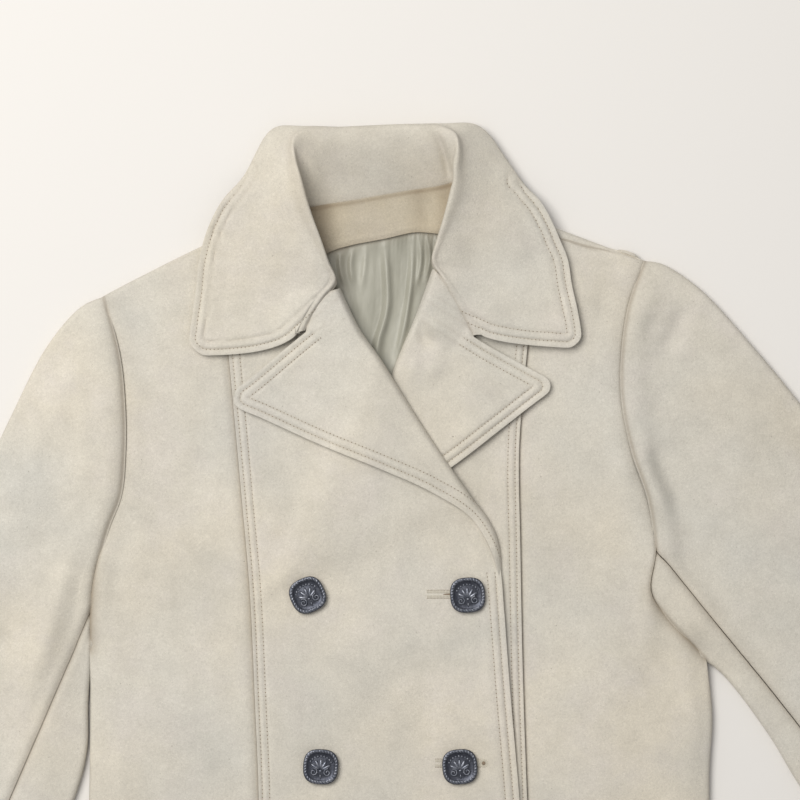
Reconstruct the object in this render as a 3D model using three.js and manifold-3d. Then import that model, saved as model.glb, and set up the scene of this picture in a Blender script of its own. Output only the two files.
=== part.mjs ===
// A double-breasted wool coat, buttoned and laid flat on its back.
// Millimetres, +Z up, +Y towards the collar. "Right" and "left" are the wearer's.
// The origin ends up under the middle of the coat, on the surface that it lies on.
import * as THREE from 'three';
import { mergeVertices } from 'three/addons/utils/BufferGeometryUtils.js';
import Module from 'manifold-3d';

const wasm = await Module();
wasm.setup();

// Cloth walls
const woolWall = 2.4;
const lapelWall = 2.8;
const collarWall = 3;
const liningWall = 1;

// How the layers lie on each other, heights above the surface
const foldRadius = 4.3;
const laidTop = 2 * foldRadius;
const underFrontTop = 6.4;
const overFrontTop = 9.2;
const layerGap = 0.35;
const lapelGap = 0.7;
const neckGap = 0.7;
const seamGap = 0.3;
const armholeGap = 0.6;
const armholeLap = 4;
const lapelBump = 3.8;
const lapelRise = 9;
const leafUnderBack = 4;
const collarSeamGap = 0.9;
const frontEase = 0.5;
const backEase = 0.3;

// The coat's length, from the hem to the armholes, and where its rows of buttons lie
const hemY = -606;
const buttonRows = [-150, -282, -413];
const buttonColumns = { right: [-71, -61, -56], left: [52, 46, 48] };
const buttonSize = 28;
const buttonTurn = [25, 4, -3, 5, 2, -4];

// Outlines in plan, [x, y]
const sideRight = [[-253, hemY], [-245, -424], [-240, -308], [-239, -231], [-239, -192]];
const sideLeft = [[257, hemY], [245, -447], [239, -323], [239, -285], [241, -243], [236, -199]];
const armholeRight = [
  [-239, -192], [-237, -145], [-226, -100], [-216, -73], [-213, -42], [-213, -6], [-217, 35], [-229, 80],
];
const armholeLeft = [
  [236, -199], [206, -167], [193, -148], [197, -114], [192, -77], [179, -38], [171, 10], [176, 69], [189, 107],
];
const shoulderRight = [[-229, 80], [-181, 105], [-140, 125]];
const shoulderLeft = [[189, 107], [146, 123], [109, 137]];
const collarShoulderRight = [[-140, 125], [-116, 138], [-82, 152]];
const collarShoulderLeft = [[109, 137], [85, 146], [53, 158]];
const princessRight = [
  [-112, hemY], [-109, -424], [-109, -308], [-112, -231], [-116, -146], [-122, -77], [-129, 0], [-136, 77], [-140, 125],
];
const princessLeft = [
  [111, hemY], [103, -424], [98, -304], [95, -216], [93, -116], [92, -38], [96, 15], [103, 85], [109, 137],
];
const frontEdgeRight = [[110, hemY], [100, -424], [92, -308], [85, -227], [80, -160], [77, -120]];
const frontEdgeLeft = [[-79, hemY], [-78, -308], [-76, -185], [-66, -118]];
const rollRight = [[70.5, -106], [56, -79], [19, -22], [-15, 32], [-31, 55], [-46, 86]];
const rollLeft = [[-58, -104], [-37, -58], [-18, -12], [-2, 32], [12, 65], [25, 101]];
const lapelEdgeRight = [
  [64, -102], [50, -84], [23, -70], [-15, -53], [-62, -34], [-106, -14], [-120, -6], [-126, 4],
];
const lapelEdgeLeft = [
  [-52, -106], [-15, -88], [42, -50], [77, -23], [104, -2], [114, 6], [116, 12],
];
const gorgeRight = [[-46, 86], [-56, 78], [-65, 65], [-72, 52.5]];
const gorgeLeft = [[25, 101], [31, 90], [44, 70], [56, 49]];
const lapelTopRight = [[-72, 52.5], [-85, 42], [-114, 17], [-122, 11], [-126, 4]];
const lapelTopLeft = [[56, 49], [69, 41], [99, 25], [111, 20], [116, 12]];
const neckRight = [[-82, 152], [-76, 140], [-70, 125], [-60, 107], [-51, 86]];
const neckLeft = [[53, 158], [48, 150], [42, 136], [36, 119], [30, 101]];
const backNeck = [
  [-82, 152], [-72, 145], [-58, 147], [-38, 150], [-15, 154], [8, 158], [28, 161], [40, 160], [53, 158],
];
const facingTop = [[-70, 145], [-58, 148], [-38, 151], [-15, 155], [8, 159], [28, 162], [38, 165]];
const facingBottom = [[-64, 106], [-54, 114], [-38, 119], [-12, 124], [12, 129], [40, 127]];
const liningBottom = [[-26, -6], [-12, -6], [4, -6]];
const sleeveOuterRight = [
  [-229, 80], [-246, 72], [-272, 42], [-300, -12], [-322, -60], [-354, -134], [-424, -299], [-488, -461],
];
const sleeveInnerRight = [
  [-240, -192], [-241, -231], [-242, -270], [-252, -308], [-293, -396], [-352, -521],
];
const sleeveOuterLeft = [
  [189, 107], [202, 105], [231, 86], [270, 44], [308, -2], [370, -85], [450, -196], [527, -300],
];
const sleeveInnerLeft = [[236, -199], [250, -212], [285, -258], [308, -296], [350, -354], [404, -421]];

// Where the front seam runs on each sleeve: along is the way from armhole to cuff,
// across the way from the inner to the outer edge.
const sleeveSeamRight = [
  { along: 0, across: 0.1 }, { along: 0.15, across: 0.2 }, { along: 0.35, across: 0.27 }, { along: 1, across: 0.25 },
];
const sleeveSeamLeft = [
  { along: 0, across: 0.29 }, { along: 0.2, across: 0.18 }, { along: 0.4, across: 0.14 }, { along: 1, across: 0.14 },
];
const backSeamInset = 0.08;

// The collar, one row for each section round the neck: its seam on the neck, the top of
// its roll and its outer edge, then the length of the roll's bend, how far it turns down
// (1 lies folded flat) and how far the end's edge bows out.
const collarSections = [
  { neck: [-73, 53.4, 15], roll: [-79, 52, 15.5], edge: [-157, 40, 13], bend: 4, turn: 0.1, bow: 9 },
  { neck: [-66.8, 65.5, 18], roll: [-72, 65, 19], edge: [-160, 49, 13], bend: 4, turn: 0.2, bow: 3 },
  { neck: [-57.8, 78.5, 21], roll: [-63, 79, 22.5], edge: [-159, 63, 13], bend: 5, turn: 0.3, bow: 0 },
  { neck: [-48, 90, 21], roll: [-53, 92, 26], edge: [-157, 83, 13], bend: 6, turn: 0.35, bow: 0 },
  { neck: [-54, 106, 17], roll: [-58, 105, 29], edge: [-155, 103, 13], bend: 7, turn: 0.35, bow: 0 },
  { neck: [-63, 123, 14], roll: [-65, 123, 32], edge: [-151, 122, 13.5], bend: 8, turn: 0.4, bow: 0 },
  { neck: [-69, 137, 12], roll: [-74, 141, 34], edge: [-145, 138, 14], bend: 9, turn: 0.4, bow: 0 },
  { neck: [-71, 145, 11], roll: [-80, 157, 35], edge: [-138, 151, 13.5], bend: 9, turn: 0.45, bow: 0 },
  { neck: [-72, 147, 10.6], roll: [-83, 173, 34], edge: [-129, 162, 11], bend: 9, turn: 0.55, bow: 0 },
  { neck: [-71, 147.4, 10.2], roll: [-85, 188, 31], edge: [-119, 169, 6], bend: 9, turn: 0.7, bow: 0 },
  { neck: [-68, 148, 10], roll: [-82, 199, 26], edge: [-102, 163, 1.2], bend: 9, turn: 0.9, bow: 0 },
  { neck: [-58, 149, 10], roll: [-68, 205, 20], edge: [-77, 149, 0], bend: 9, turn: 1, bow: 0 },
  { neck: [-38, 152, 10], roll: [-42, 207, 17], edge: [-45, 145, 0], bend: 9, turn: 1, bow: 0 },
  { neck: [-15, 156, 10], roll: [-17, 208, 16.5], edge: [-15, 145, 0], bend: 9, turn: 1, bow: 0 },
  { neck: [8, 160, 10], roll: [9, 209, 17], edge: [12, 148, 0], bend: 9, turn: 1, bow: 0 },
  { neck: [28, 163, 10], roll: [29, 207, 20], edge: [42, 151, 0], bend: 9, turn: 1, bow: 0 },
  { neck: [38, 165.5, 10], roll: [43, 201, 26], edge: [71, 162, 1.2], bend: 9, turn: 0.9, bow: 0 },
  { neck: [41, 166, 10.2], roll: [48, 191, 31], edge: [89, 164, 6], bend: 9, turn: 0.7, bow: 0 },
  { neck: [41, 165, 10.6], roll: [48, 177, 34], edge: [101, 160, 10], bend: 9, turn: 0.55, bow: 0 },
  { neck: [40, 161, 11], roll: [47, 163, 35], edge: [109, 151, 11.5], bend: 9, turn: 0.45, bow: 0 },
  { neck: [38, 150, 12.5], roll: [43, 149, 34], edge: [116, 139, 12.5], bend: 9, turn: 0.4, bow: 0 },
  { neck: [33, 137, 14], roll: [38, 136, 32], edge: [123, 123, 13], bend: 8, turn: 0.4, bow: 0 },
  { neck: [26, 119, 17], roll: [32, 121, 28], edge: [129, 108, 13], bend: 7, turn: 0.35, bow: 0 },
  { neck: [24, 104.5, 19], roll: [28, 106, 24], edge: [132, 89, 13], bend: 6, turn: 0.35, bow: 0 },
  { neck: [32, 92, 20.5], roll: [37, 93, 22], edge: [136, 71, 13], bend: 5, turn: 0.3, bow: 0 },
  { neck: [44.5, 71, 18], roll: [51, 73, 19], edge: [137, 57, 13], bend: 4, turn: 0.2, bow: 2 },
  { neck: [56.5, 50, 14.5], roll: [63, 50, 15], edge: [134, 45, 13], bend: 4, turn: 0.1, bow: 6 },
];
const standSteps = 5;
const leafSteps = 9;

// Colours seen on the coat
const cloth = {
  wool: { color: 0xd0cabc, roughness: 0.95, metalness: 0 },
  lining: { color: 0xc9c4b8, roughness: 0.45, metalness: 0 },
  pewter: { color: 0x5b6070, roughness: 0.4, metalness: 0.9 },
};

const smooth = THREE.MathUtils.smoothstep;
const lerp = THREE.MathUtils.lerp;

// A plan curve through a short list of points, read by its share of the length
function planCurve(points) {
  const line = new THREE.CatmullRomCurve3(points.map(([x, y]) => new THREE.Vector3(x, y, 0)), false, 'centripetal');
  line.arcLengthDivisions = 400;
  return (share) => line.getPointAt(THREE.MathUtils.clamp(share, 0, 1));
}

// Two curves end to end, the first one taking the given share
function chain(first, second, share) {
  return (t) => (t < share ? first(t / share) : second((t - share) / (1 - share)));
}

function reversed(curve) {
  return (t) => curve(1 - t);
}

// The same curve moved sideways in plan, to the left of its direction
function moved(curve, distance) {
  const step = 0.002;
  return (t) => {
    const ahead = curve(Math.min(1, t + step)).sub(curve(Math.max(0, t - step))).normalize();
    return curve(t).add(new THREE.Vector3(-ahead.y, ahead.x, 0).multiplyScalar(distance));
  };
}

// A patch between four plan curves: inner and outer run along it, near and far across it
function planPatch({ inner, outer, near, far }) {
  return (across, along) => {
    const point = new THREE.Vector3();
    point.addScaledVector(inner(along), 1 - across).addScaledVector(outer(along), across);
    point.addScaledVector(near(across), 1 - along).addScaledVector(far(across), along);
    point.addScaledVector(near(0), -(1 - across) * (1 - along)).addScaledVector(near(1), -across * (1 - along));
    point.addScaledVector(far(0), -(1 - across) * along).addScaledVector(far(1), -across * along);
    return point;
  };
}

function steps(count) {
  return Array.from({ length: count + 1 }, (_, i) => i / count);
}

// Steps that crowd towards the start, the end or both, where cloth rolls over an edge
const rollDistances = [0, 0.5, 1.8, 4.5];
function rollSteps(length, margin = 0.05) {
  return rollDistances.map((distance, i) => Math.min(distance / length, (margin * i) / rollDistances.length));
}

function edgeSteps(count, length, atStart, atEnd, margin = 0.05) {
  const inside = steps(count).filter((t) => (t > margin || !atStart) && (t < 1 - margin || !atEnd));
  const start = atStart ? rollSteps(length, margin) : [];
  const end = atEnd ? rollSteps(length, margin).map((t) => 1 - t).reverse() : [];
  return [...start, ...inside, ...end];
}

// How far a rolled edge has come round at a distance from its outermost line, 0 to 1
function rollShare(distance, radius) {
  const left = 1 - Math.min(Math.max(distance, 0) / radius, 1);
  return Math.sqrt(1 - left * left);
}

// A cloth wall: rows of outer points, the inner face one wall below them along the
// normals, and a rim all round. side is 1 where the rows' own normal faces outward.
// level says how far the rim is kept level at a row and column, 0 to 1, and worn how
// much thinner the wall is at a place.
function clothWall(rows, wall, side, level = () => 0, worn = () => 0) {
  const last = rows.length - 1;
  const end = rows[0].length - 1;
  const inside = rows.map((row, i) => row.map((point, j) => {
    const along = rows[Math.min(i + 1, last)][j].clone().sub(rows[Math.max(i - 1, 0)][j]);
    const across = row[Math.min(j + 1, end)].clone().sub(row[Math.max(j - 1, 0)]);
    const normal = across.cross(along).normalize();
    normal.z *= 1 - level(i, j);
    return point.clone().sub(normal.setLength(side * (wall - worn(point.x, point.y))));
  }));
  const points = [...rows.flat(), ...inside.flat()];
  const width = end + 1;
  const back = rows.length * width;
  const triangles = [];
  const quad = (a, b, c, d) => triangles.push(...(side > 0 ? [a, b, c, a, c, d] : [a, c, b, a, d, c]));
  for (let i = 0; i < last; i += 1) {
    for (let j = 0; j < end; j += 1) {
      const at = i * width + j;
      quad(at, at + 1, at + width + 1, at + width);
      quad(back + at, back + at + width, back + at + width + 1, back + at + 1);
    }
  }
  for (let j = 0; j < end; j += 1) {
    const top = last * width + j;
    quad(j + 1, j, back + j, back + j + 1);
    quad(top, top + 1, back + top + 1, back + top);
  }
  for (let i = 0; i < last; i += 1) {
    const at = i * width;
    quad(at, at + width, back + at + width, back + at);
    quad(at + end + width, at + end, back + at + end, back + at + end + width);
  }
  const geometry = new THREE.BufferGeometry().setFromPoints(points);
  geometry.setIndex(triangles);
  geometry.computeVertexNormals();
  return geometry;
}

const coat = new THREE.Group();
coat.name = 'double_breasted_coat';

function addPiece(name, geometry, look) {
  const mesh = new THREE.Mesh(geometry, new THREE.MeshStandardMaterial({ ...look }));
  mesh.name = name;
  coat.add(mesh);
  return mesh;
}

// Heights of the laid layers over the plan

// The collar's leaf lies under the back at the neck and lifts what is on it
function ground(x, y) {
  const sideways = smooth(x, -125, -92) * (1 - smooth(x, 62, 92));
  return leafUnderBack * sideways * smooth(y, 104, 138);
}

// The right front and its lapel pass over the left lapel, inside this triangle
const bumpCorners = [[-2, 36], [-60, -106], [56, -62]];
function overLeftLapel(x, y) {
  let nearest = Infinity;
  for (let i = 0; i < 3; i += 1) {
    const [ax, ay] = bumpCorners[i];
    const [bx, by] = bumpCorners[(i + 1) % 3];
    const length = Math.hypot(bx - ax, by - ay);
    nearest = Math.min(nearest, ((bx - ax) * (y - ay) - (by - ay) * (x - ax)) / length);
  }
  return smooth(nearest, -34, -5);
}

function rightFrontTop(x, y) {
  const flat = lerp(laidTop, overFrontTop, smooth(x, -160, -90) * (1 - smooth(y, 60, 100)));
  return flat + lapelBump * overLeftLapel(x, y) + ground(x, y);
}

// Laid cloth is never quite even: a slow rise and fall from 0 to 1 over the plan
function ease(x, y) {
  return 0.5 + 0.25 * (Math.sin(x / 29 + y / 53) + Math.cos(y / 41 - x / 67));
}

function leftFrontTop(x, y) {
  const beside = Math.max(smooth(x, 118, 175), smooth(y, 45, 90));
  const eased = frontEase * ease(x, y) * (1 - smooth(y, -90, -30));
  return lerp(underFrontTop, laidTop, beside) - eased + ground(x, y);
}

// Body outlines as curves
const armShare = 0.58;
const outline = {
  right: {
    side: planCurve(sideRight),
    armhole: planCurve(armholeRight),
    princess: planCurve(princessRight),
    shoulder: planCurve(shoulderRight),
    collarShoulder: planCurve(collarShoulderRight),
    neck: planCurve(neckRight),
    roll: planCurve(rollRight),
    top: rightFrontTop,
    turn: 1,
  },
  left: {
    side: planCurve(sideLeft),
    armhole: planCurve(armholeLeft),
    princess: planCurve(princessLeft),
    shoulder: planCurve(shoulderLeft),
    collarShoulder: planCurve(collarShoulderLeft),
    neck: planCurve(neckLeft),
    roll: planCurve(rollLeft),
    top: leftFrontTop,
    turn: -1,
  },
};
for (const half of Object.values(outline)) {
  half.edge = chain(half.side, half.armhole, armShare);
}

// The rows of every body piece, closer together over the chest and at the shoulder's roll
const bodyLength = 740;
const bodyWays = [
  ...steps(8).map((t) => t * 0.96 * armShare),
  ...steps(13).map((t) => lerp(armShare, 0.97, t)),
  ...rollSteps(bodyLength).map((t) => 1 - t).reverse(),
];

function width(plan, along) {
  return plan(0, along).distanceTo(plan(1, along));
}

function straight(from, to) {
  return (t) => from.clone().lerp(to, t);
}

// Only the side below the armhole rolls over to the back, where the sleeve is free of it
function sideRoll(along) {
  return 1 - smooth(along, armShare - 0.05, armShare);
}

// Side front: from the side seam, which lies at half height on the fold, to the princess seam
function sideFront(half) {
  const princess = moved(half.princess, (half.turn * seamGap) / 2);
  const plan = planPatch({
    inner: half.edge,
    outer: princess,
    near: straight(half.edge(0), princess(0)),
    far: half.shoulder,
  });
  const rows = bodyWays.map((along) => edgeSteps(7, width(plan, along), true, false).map((across) => {
    const point = plan(across, along);
    const toSide = point.distanceTo(plan(0, along));
    const toShoulder = point.distanceTo(plan(across, 1));
    const roll = lerp(1, rollShare(toSide, foldRadius), sideRoll(along));
    const share = Math.min(roll, rollShare(toShoulder, foldRadius));
    const seam = foldRadius + seamGap / 2 + ground(point.x, point.y);
    point.z = lerp(seam, half.top(point.x, point.y), share);
    return point;
  }));
  const level = (i, j) => (i === rows.length - 1 ? 1 : (j === 0) * sideRoll(bodyWays[i]));
  return clothWall(rows, woolWall, half.turn, level);
}

// Centre front: from the princess seam to the front edge and, above it, to just inside the roll
function centreFront(half, frontEdge, edgeShare, columns) {
  const princess = moved(half.princess, (-half.turn * seamGap) / 2);
  const rollInset = lapelWall + 3.2;
  const roll = moved(half.roll, half.turn * rollInset);
  const edge = chain(planCurve(frontEdge), roll, edgeShare);
  const plan = planPatch({
    inner: princess,
    outer: edge,
    near: straight(princess(0), edge(0)),
    far: chain(half.collarShoulder, half.neck, 0.5),
  });
  const atNeck = (across) => smooth(across, 0.45, 0.55);
  const ways = steps(columns);
  const rows = bodyWays.map((along) => ways.map((across) => {
    const point = plan(across, along);
    const toTop = point.distanceTo(plan(across, 1));
    const share = lerp(rollShare(toTop, foldRadius), 1, atNeck(across));
    const seam = foldRadius - seamGap / 2 + collarSeamGap + ground(point.x, point.y);
    point.z = lerp(seam, half.top(point.x, point.y), share);
    return point;
  }));
  const level = (i, j) => (i === rows.length - 1 ? 1 - atNeck(ways[j]) : 0);
  return clothWall(rows, woolWall, half.turn, level);
}

// The back lies on the surface and rises to the side and shoulder seams
function back() {
  const { right, left } = outline;
  const shoulders = chain(
    chain(right.shoulder, right.collarShoulder, 0.6),
    chain(planCurve(backNeck), chain(reversed(left.collarShoulder), reversed(left.shoulder), 0.4), 0.4),
    0.375,
  );
  const plan = planPatch({
    inner: right.edge,
    outer: left.edge,
    near: straight(right.edge(0), left.edge(0)),
    far: shoulders,
  });
  const lastRow = bodyWays.length - 1;
  const lastColumn = edgeSteps(16, 1, true, true).length - 1;
  const atNeck = (across) => smooth(across, 0.32, 0.37) * (1 - smooth(across, 0.63, 0.68));
  const rows = bodyWays.map((along) => edgeSteps(16, width(plan, along), true, true).map((across) => {
    const point = plan(across, along);
    const toSide = Math.min(point.distanceTo(plan(0, along)), point.distanceTo(plan(1, along)));
    const toTop = point.distanceTo(plan(across, 1));
    const roll = lerp(1, rollShare(toSide, foldRadius), sideRoll(along));
    const share = Math.min(roll, lerp(rollShare(toTop, foldRadius), 1, atNeck(across)));
    point.z = (foldRadius - seamGap / 2) * (1 - share) + ground(point.x, point.y);
    return point;
  }));
  const level = (i, j) => {
    const atSide = (j === 0 || j === lastColumn) * sideRoll(bodyWays[i]);
    const toEdge = Math.min(j, lastColumn - j);
    return i === lastRow ? 1 - smooth(toEdge, 8, 9) : atSide;
  };
  return clothWall(rows, woolWall, -1, level, (x, y) => backEase * ease(x, y));
}

addPiece('back', back(), cloth.wool);
addPiece('side_front_right', sideFront(outline.right), cloth.wool);
addPiece('side_front_left', sideFront(outline.left), cloth.wool);
addPiece('centre_front_right', centreFront(outline.right, frontEdgeRight, 0.64, 14), cloth.wool);
addPiece('centre_front_left', centreFront(outline.left, frontEdgeLeft, 0.68, 10), cloth.wool);

// Neck facing and lining, on the back and inside the collar
function laidOnBack(near, far, wall) {
  const plan = planPatch({
    inner: straight(near(0), far(0)),
    outer: straight(near(1), far(1)),
    near,
    far,
  });
  const rows = steps(4).map((along) => steps(8).map((across) => {
    const point = plan(across, along);
    const lift = neckGap * smooth(point.y, 60, 100);
    point.z = ground(point.x, point.y) + woolWall + layerGap + wall + lift;
    return point;
  }));
  return clothWall(rows, wall, 1);
}

const facingEdge = planCurve(facingBottom);
addPiece('back_neck_facing', laidOnBack(facingEdge, planCurve(facingTop), woolWall), cloth.wool);
addPiece('back_lining', laidOnBack(planCurve(liningBottom), moved(facingEdge, -seamGap), liningWall), cloth.lining);

// A lapel, turned back over its front: it rolls down at the roll line and rises towards the collar
function lapel(half, edgePoints, gorgePoints, topPoints, gorgeShare, riseFrom) {
  const edge = planCurve(edgePoints);
  const plan = planPatch({
    inner: half.roll,
    outer: edge,
    near: straight(half.roll(0), edge(0)),
    far: chain(planCurve(gorgePoints), planCurve(topPoints), gorgeShare),
  });
  const rollRadius = 5;
  const riseReach = 60;
  const rows = steps(13).map((along) => edgeSteps(8, width(plan, along), true, false, 0.12).map((across) => {
    const point = plan(across, along);
    const toRoll = point.distanceTo(plan(0, along));
    const front = half.top(point.x, point.y);
    const rise = lapelRise * smooth(along, riseFrom, 1) * (1 - smooth(toRoll, 0, riseReach));
    const top = front + lapelGap + lapelWall + rise;
    const low = front - woolWall + rise * 0.4;
    point.z = lerp(low, top, rollShare(toRoll, rollRadius));
    return point;
  }));
  return clothWall(rows, lapelWall, -half.turn, (i, j) => (j === 0 ? 1 : 0));
}

addPiece('lapel_right', lapel(outline.right, lapelEdgeRight, gorgeRight, lapelTopRight, 0.4, 0.5), cloth.wool);
addPiece('lapel_left', lapel(outline.left, lapelEdgeLeft, gorgeLeft, lapelTopLeft, 0.48, 0.72), cloth.wool);

// The collar: a stand that rises from the neck seam and a leaf that folds down outside it
function collar() {
  const rows = collarSections.map(({ neck, roll, edge, bend, turn, bow }) => {
    const foot = new THREE.Vector3(...neck);
    const top = new THREE.Vector3(...roll);
    const rim = new THREE.Vector3(...edge);
    const outward = new THREE.Vector3(rim.x - top.x, rim.y - top.y, 0).normalize();
    const down = (turn * Math.PI) / 2;
    const tangent = outward.multiplyScalar(Math.cos(down)).setZ(-Math.sin(down)).multiplyScalar(bend);
    const stand = new THREE.CubicBezierCurve3(foot, foot.clone().lerp(top, 0.35), top.clone().sub(tangent), top);
    const leaf = new THREE.CubicBezierCurve3(top, top.clone().add(tangent), rim.clone().lerp(top, 0.5).setZ(rim.z), rim);
    const onStand = steps(standSteps).slice(0, -1).map((t) => stand.getPoint(t));
    const onLeaf = steps(leafSteps).map((t) => {
      const point = leaf.getPoint(t);
      point.y -= bow * Math.sin(Math.PI * t);
      return point;
    });
    return [...onStand, ...onLeaf];
  });
  return clothWall(rows, collarWall, -1);
}

addPiece('collar', collar(), cloth.wool);

// Sleeves: a flat tube of an upper and an under piece, with one seam on top near the
// inner edge and one below, near the outer edge
function seamAt(table, along) {
  const next = Math.max(1, table.findIndex((row) => row.along >= along));
  const from = table[next - 1];
  const to = table[next];
  return lerp(from.across, to.across, (along - from.along) / (to.along - from.along));
}

// A sleeve starts a little inside the body and is then cut along the body's armhole
function sleevePlan(half, innerPoints, outerPoints) {
  const near = moved(half.armhole, -half.turn * armholeLap);
  const inner = moved(planCurve([near(0).toArray(), ...innerPoints]), half.turn * armholeGap);
  const outer = planCurve([near(1).toArray(), ...outerPoints]);
  return planPatch({ inner, outer, near, far: straight(inner(1), outer(1)) });
}

function toSolid(geometry) {
  const bare = geometry.clone();
  bare.deleteAttribute('normal');
  bare.deleteAttribute('uv');
  const merged = mergeVertices(bare, 1e-4);
  const mesh = new wasm.Mesh({
    numProp: 3,
    vertProperties: merged.attributes.position.array,
    triVerts: new Uint32Array(merged.index.array),
  });
  return new wasm.Manifold(mesh);
}

function fromSolid(solid) {
  const { vertProperties, triVerts } = solid.getMesh();
  const geometry = new THREE.BufferGeometry();
  geometry.setAttribute('position', new THREE.BufferAttribute(vertProperties, 3));
  geometry.setIndex(new THREE.BufferAttribute(triVerts, 1));
  geometry.computeVertexNormals();
  return geometry;
}

// The body's outline, a little wider, as a solid that trims the sleeves
function bodyCutter(half) {
  const trim = moved(half.edge, half.turn * armholeGap);
  const shape = new THREE.Shape();
  shape.moveTo(0, hemY);
  bodyWays.map(trim).forEach(({ x, y }) => shape.lineTo(x, y));
  shape.lineTo(0, 200);
  const height = 4 * laidTop;
  return toSolid(new THREE.ExtrudeGeometry(shape, { depth: height, bevelEnabled: false }).translate(0, 0, -laidTop));
}

// One point of the flat tube: on its top or under it, rolled at both edges
function tubePoint(plan, across, along, onTop) {
  const point = plan(across, along);
  const toEdge = Math.min(point.distanceTo(plan(0, along)), point.distanceTo(plan(1, along)));
  const share = rollShare(toEdge, foldRadius);
  point.z = foldRadius + (onTop ? share : -share) * foldRadius;
  return point;
}

function sleeveUpper(half, plan, seam) {
  const rows = steps(12).map((along) => {
    const across = width(plan, along);
    const onTop = edgeSteps(8, across, false, true);
    const below = rollSteps(across).slice(1);
    const start = seamAt(seam, along);
    const over = onTop.map((t) => tubePoint(plan, lerp(start, 1, t), along, true));
    const under = [...below, backSeamInset].map((t) => tubePoint(plan, 1 - t, along, false));
    return [...over, ...under];
  });
  return clothWall(rows, woolWall, half.turn);
}

function sleeveUnder(half, plan, seam) {
  const gap = 0.003;
  const rows = steps(12).map((along) => {
    const across = width(plan, along);
    const onTop = edgeSteps(3, across * seamAt(seam, along), false, true);
    const below = edgeSteps(8, across, true, false).slice(1);
    const start = seamAt(seam, along) - gap;
    const end = 1 - backSeamInset - gap;
    const over = onTop.map((t) => tubePoint(plan, lerp(start, 0, t), along, true));
    const under = below.map((t) => tubePoint(plan, end * t, along, false));
    return [...over, ...under];
  });
  return clothWall(rows, woolWall, -half.turn);
}

const sleeves = [
  { name: 'right', half: outline.right, inner: sleeveInnerRight, outer: sleeveOuterRight, seam: sleeveSeamRight },
  { name: 'left', half: outline.left, inner: sleeveInnerLeft, outer: sleeveOuterLeft, seam: sleeveSeamLeft },
];
for (const { name, half, inner, outer, seam } of sleeves) {
  const plan = sleevePlan(half, inner, outer);
  const cutter = bodyCutter(half);
  const upper = toSolid(sleeveUpper(half, plan, seam)).subtract(cutter);
  const under = toSolid(sleeveUnder(half, plan, seam)).subtract(cutter);
  addPiece(`sleeve_upper_${name}`, fromSolid(upper), cloth.wool);
  addPiece(`sleeve_under_${name}`, fromSolid(under), cloth.wool);
}

// Buttons: rounded squares on a round shank, with a raised rim
const buttonRings = [
  { reach: 3.6, height: 0 },
  { reach: 3.2, height: 2.4 },
  { reach: 12.8, height: 2.8 },
  { reach: buttonSize / 2, height: 4 },
  { reach: buttonSize / 2 - 0.4, height: 5.6 },
  { reach: buttonSize / 2 - 2, height: 6.2 },
  { reach: buttonSize / 2 - 3.4, height: 5.2 },
];
const buttonDome = 5.8;
const squareness = 3;

function button() {
  const around = 16;
  const points = [new THREE.Vector3(0, 0, 0)];
  for (const { reach, height } of buttonRings) {
    const power = reach < 5 ? 2 : squareness;
    for (let i = 0; i < around; i += 1) {
      const angle = (2 * Math.PI * i) / around;
      const [c, s] = [Math.cos(angle), Math.sin(angle)];
      const radius = reach / (Math.abs(c) ** power + Math.abs(s) ** power) ** (1 / power);
      points.push(new THREE.Vector3(radius * c, radius * s, height));
    }
  }
  points.push(new THREE.Vector3(0, 0, buttonDome));
  const triangles = [];
  const top = points.length - 1;
  const lastRing = 1 + (buttonRings.length - 1) * around;
  for (let i = 0; i < around; i += 1) {
    const next = (i + 1) % around;
    triangles.push(0, 1 + next, 1 + i, top, lastRing + i, lastRing + next);
    for (let ring = 0; ring < buttonRings.length - 1; ring += 1) {
      const low = 1 + ring * around;
      const high = low + around;
      triangles.push(low + i, low + next, high + next, low + i, high + next, high + i);
    }
  }
  const geometry = new THREE.BufferGeometry().setFromPoints(points);
  geometry.setIndex(triangles);
  geometry.computeVertexNormals();
  return geometry;
}

// A button's shank stands on the cloth, and its face clears the cloth beside it
function buttonSeat(x, y) {
  const beside = [[-1, 0], [1, 0], [0, -1], [0, 1]]
    .map(([i, j]) => rightFrontTop(x + (i * buttonSize) / 2, y + (j * buttonSize) / 2) - buttonRings[1].height);
  return Math.max(rightFrontTop(x, y), ...beside) + seamGap;
}

buttonRows.forEach((y, row) => {
  [buttonColumns.right[row], buttonColumns.left[row]].forEach((x, column) => {
    const count = row * 2 + column;
    const mesh = addPiece(`button_${count + 1}`, button(), cloth.pewter);
    mesh.position.set(x, y, buttonSeat(x, y));
    mesh.rotation.z = THREE.MathUtils.degToRad(buttonTurn[count]);
  });
});

// The origin goes under the middle of the whole coat
coat.updateMatrixWorld(true);
const middle = new THREE.Box3().setFromObject(coat, true).getCenter(new THREE.Vector3());
for (const mesh of coat.children) {
  mesh.position.x -= middle.x;
  mesh.position.y -= middle.y;
}

export default coat;
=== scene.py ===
import math

import bmesh
import bpy
import numpy as np
from mathutils import Matrix, Vector


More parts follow.
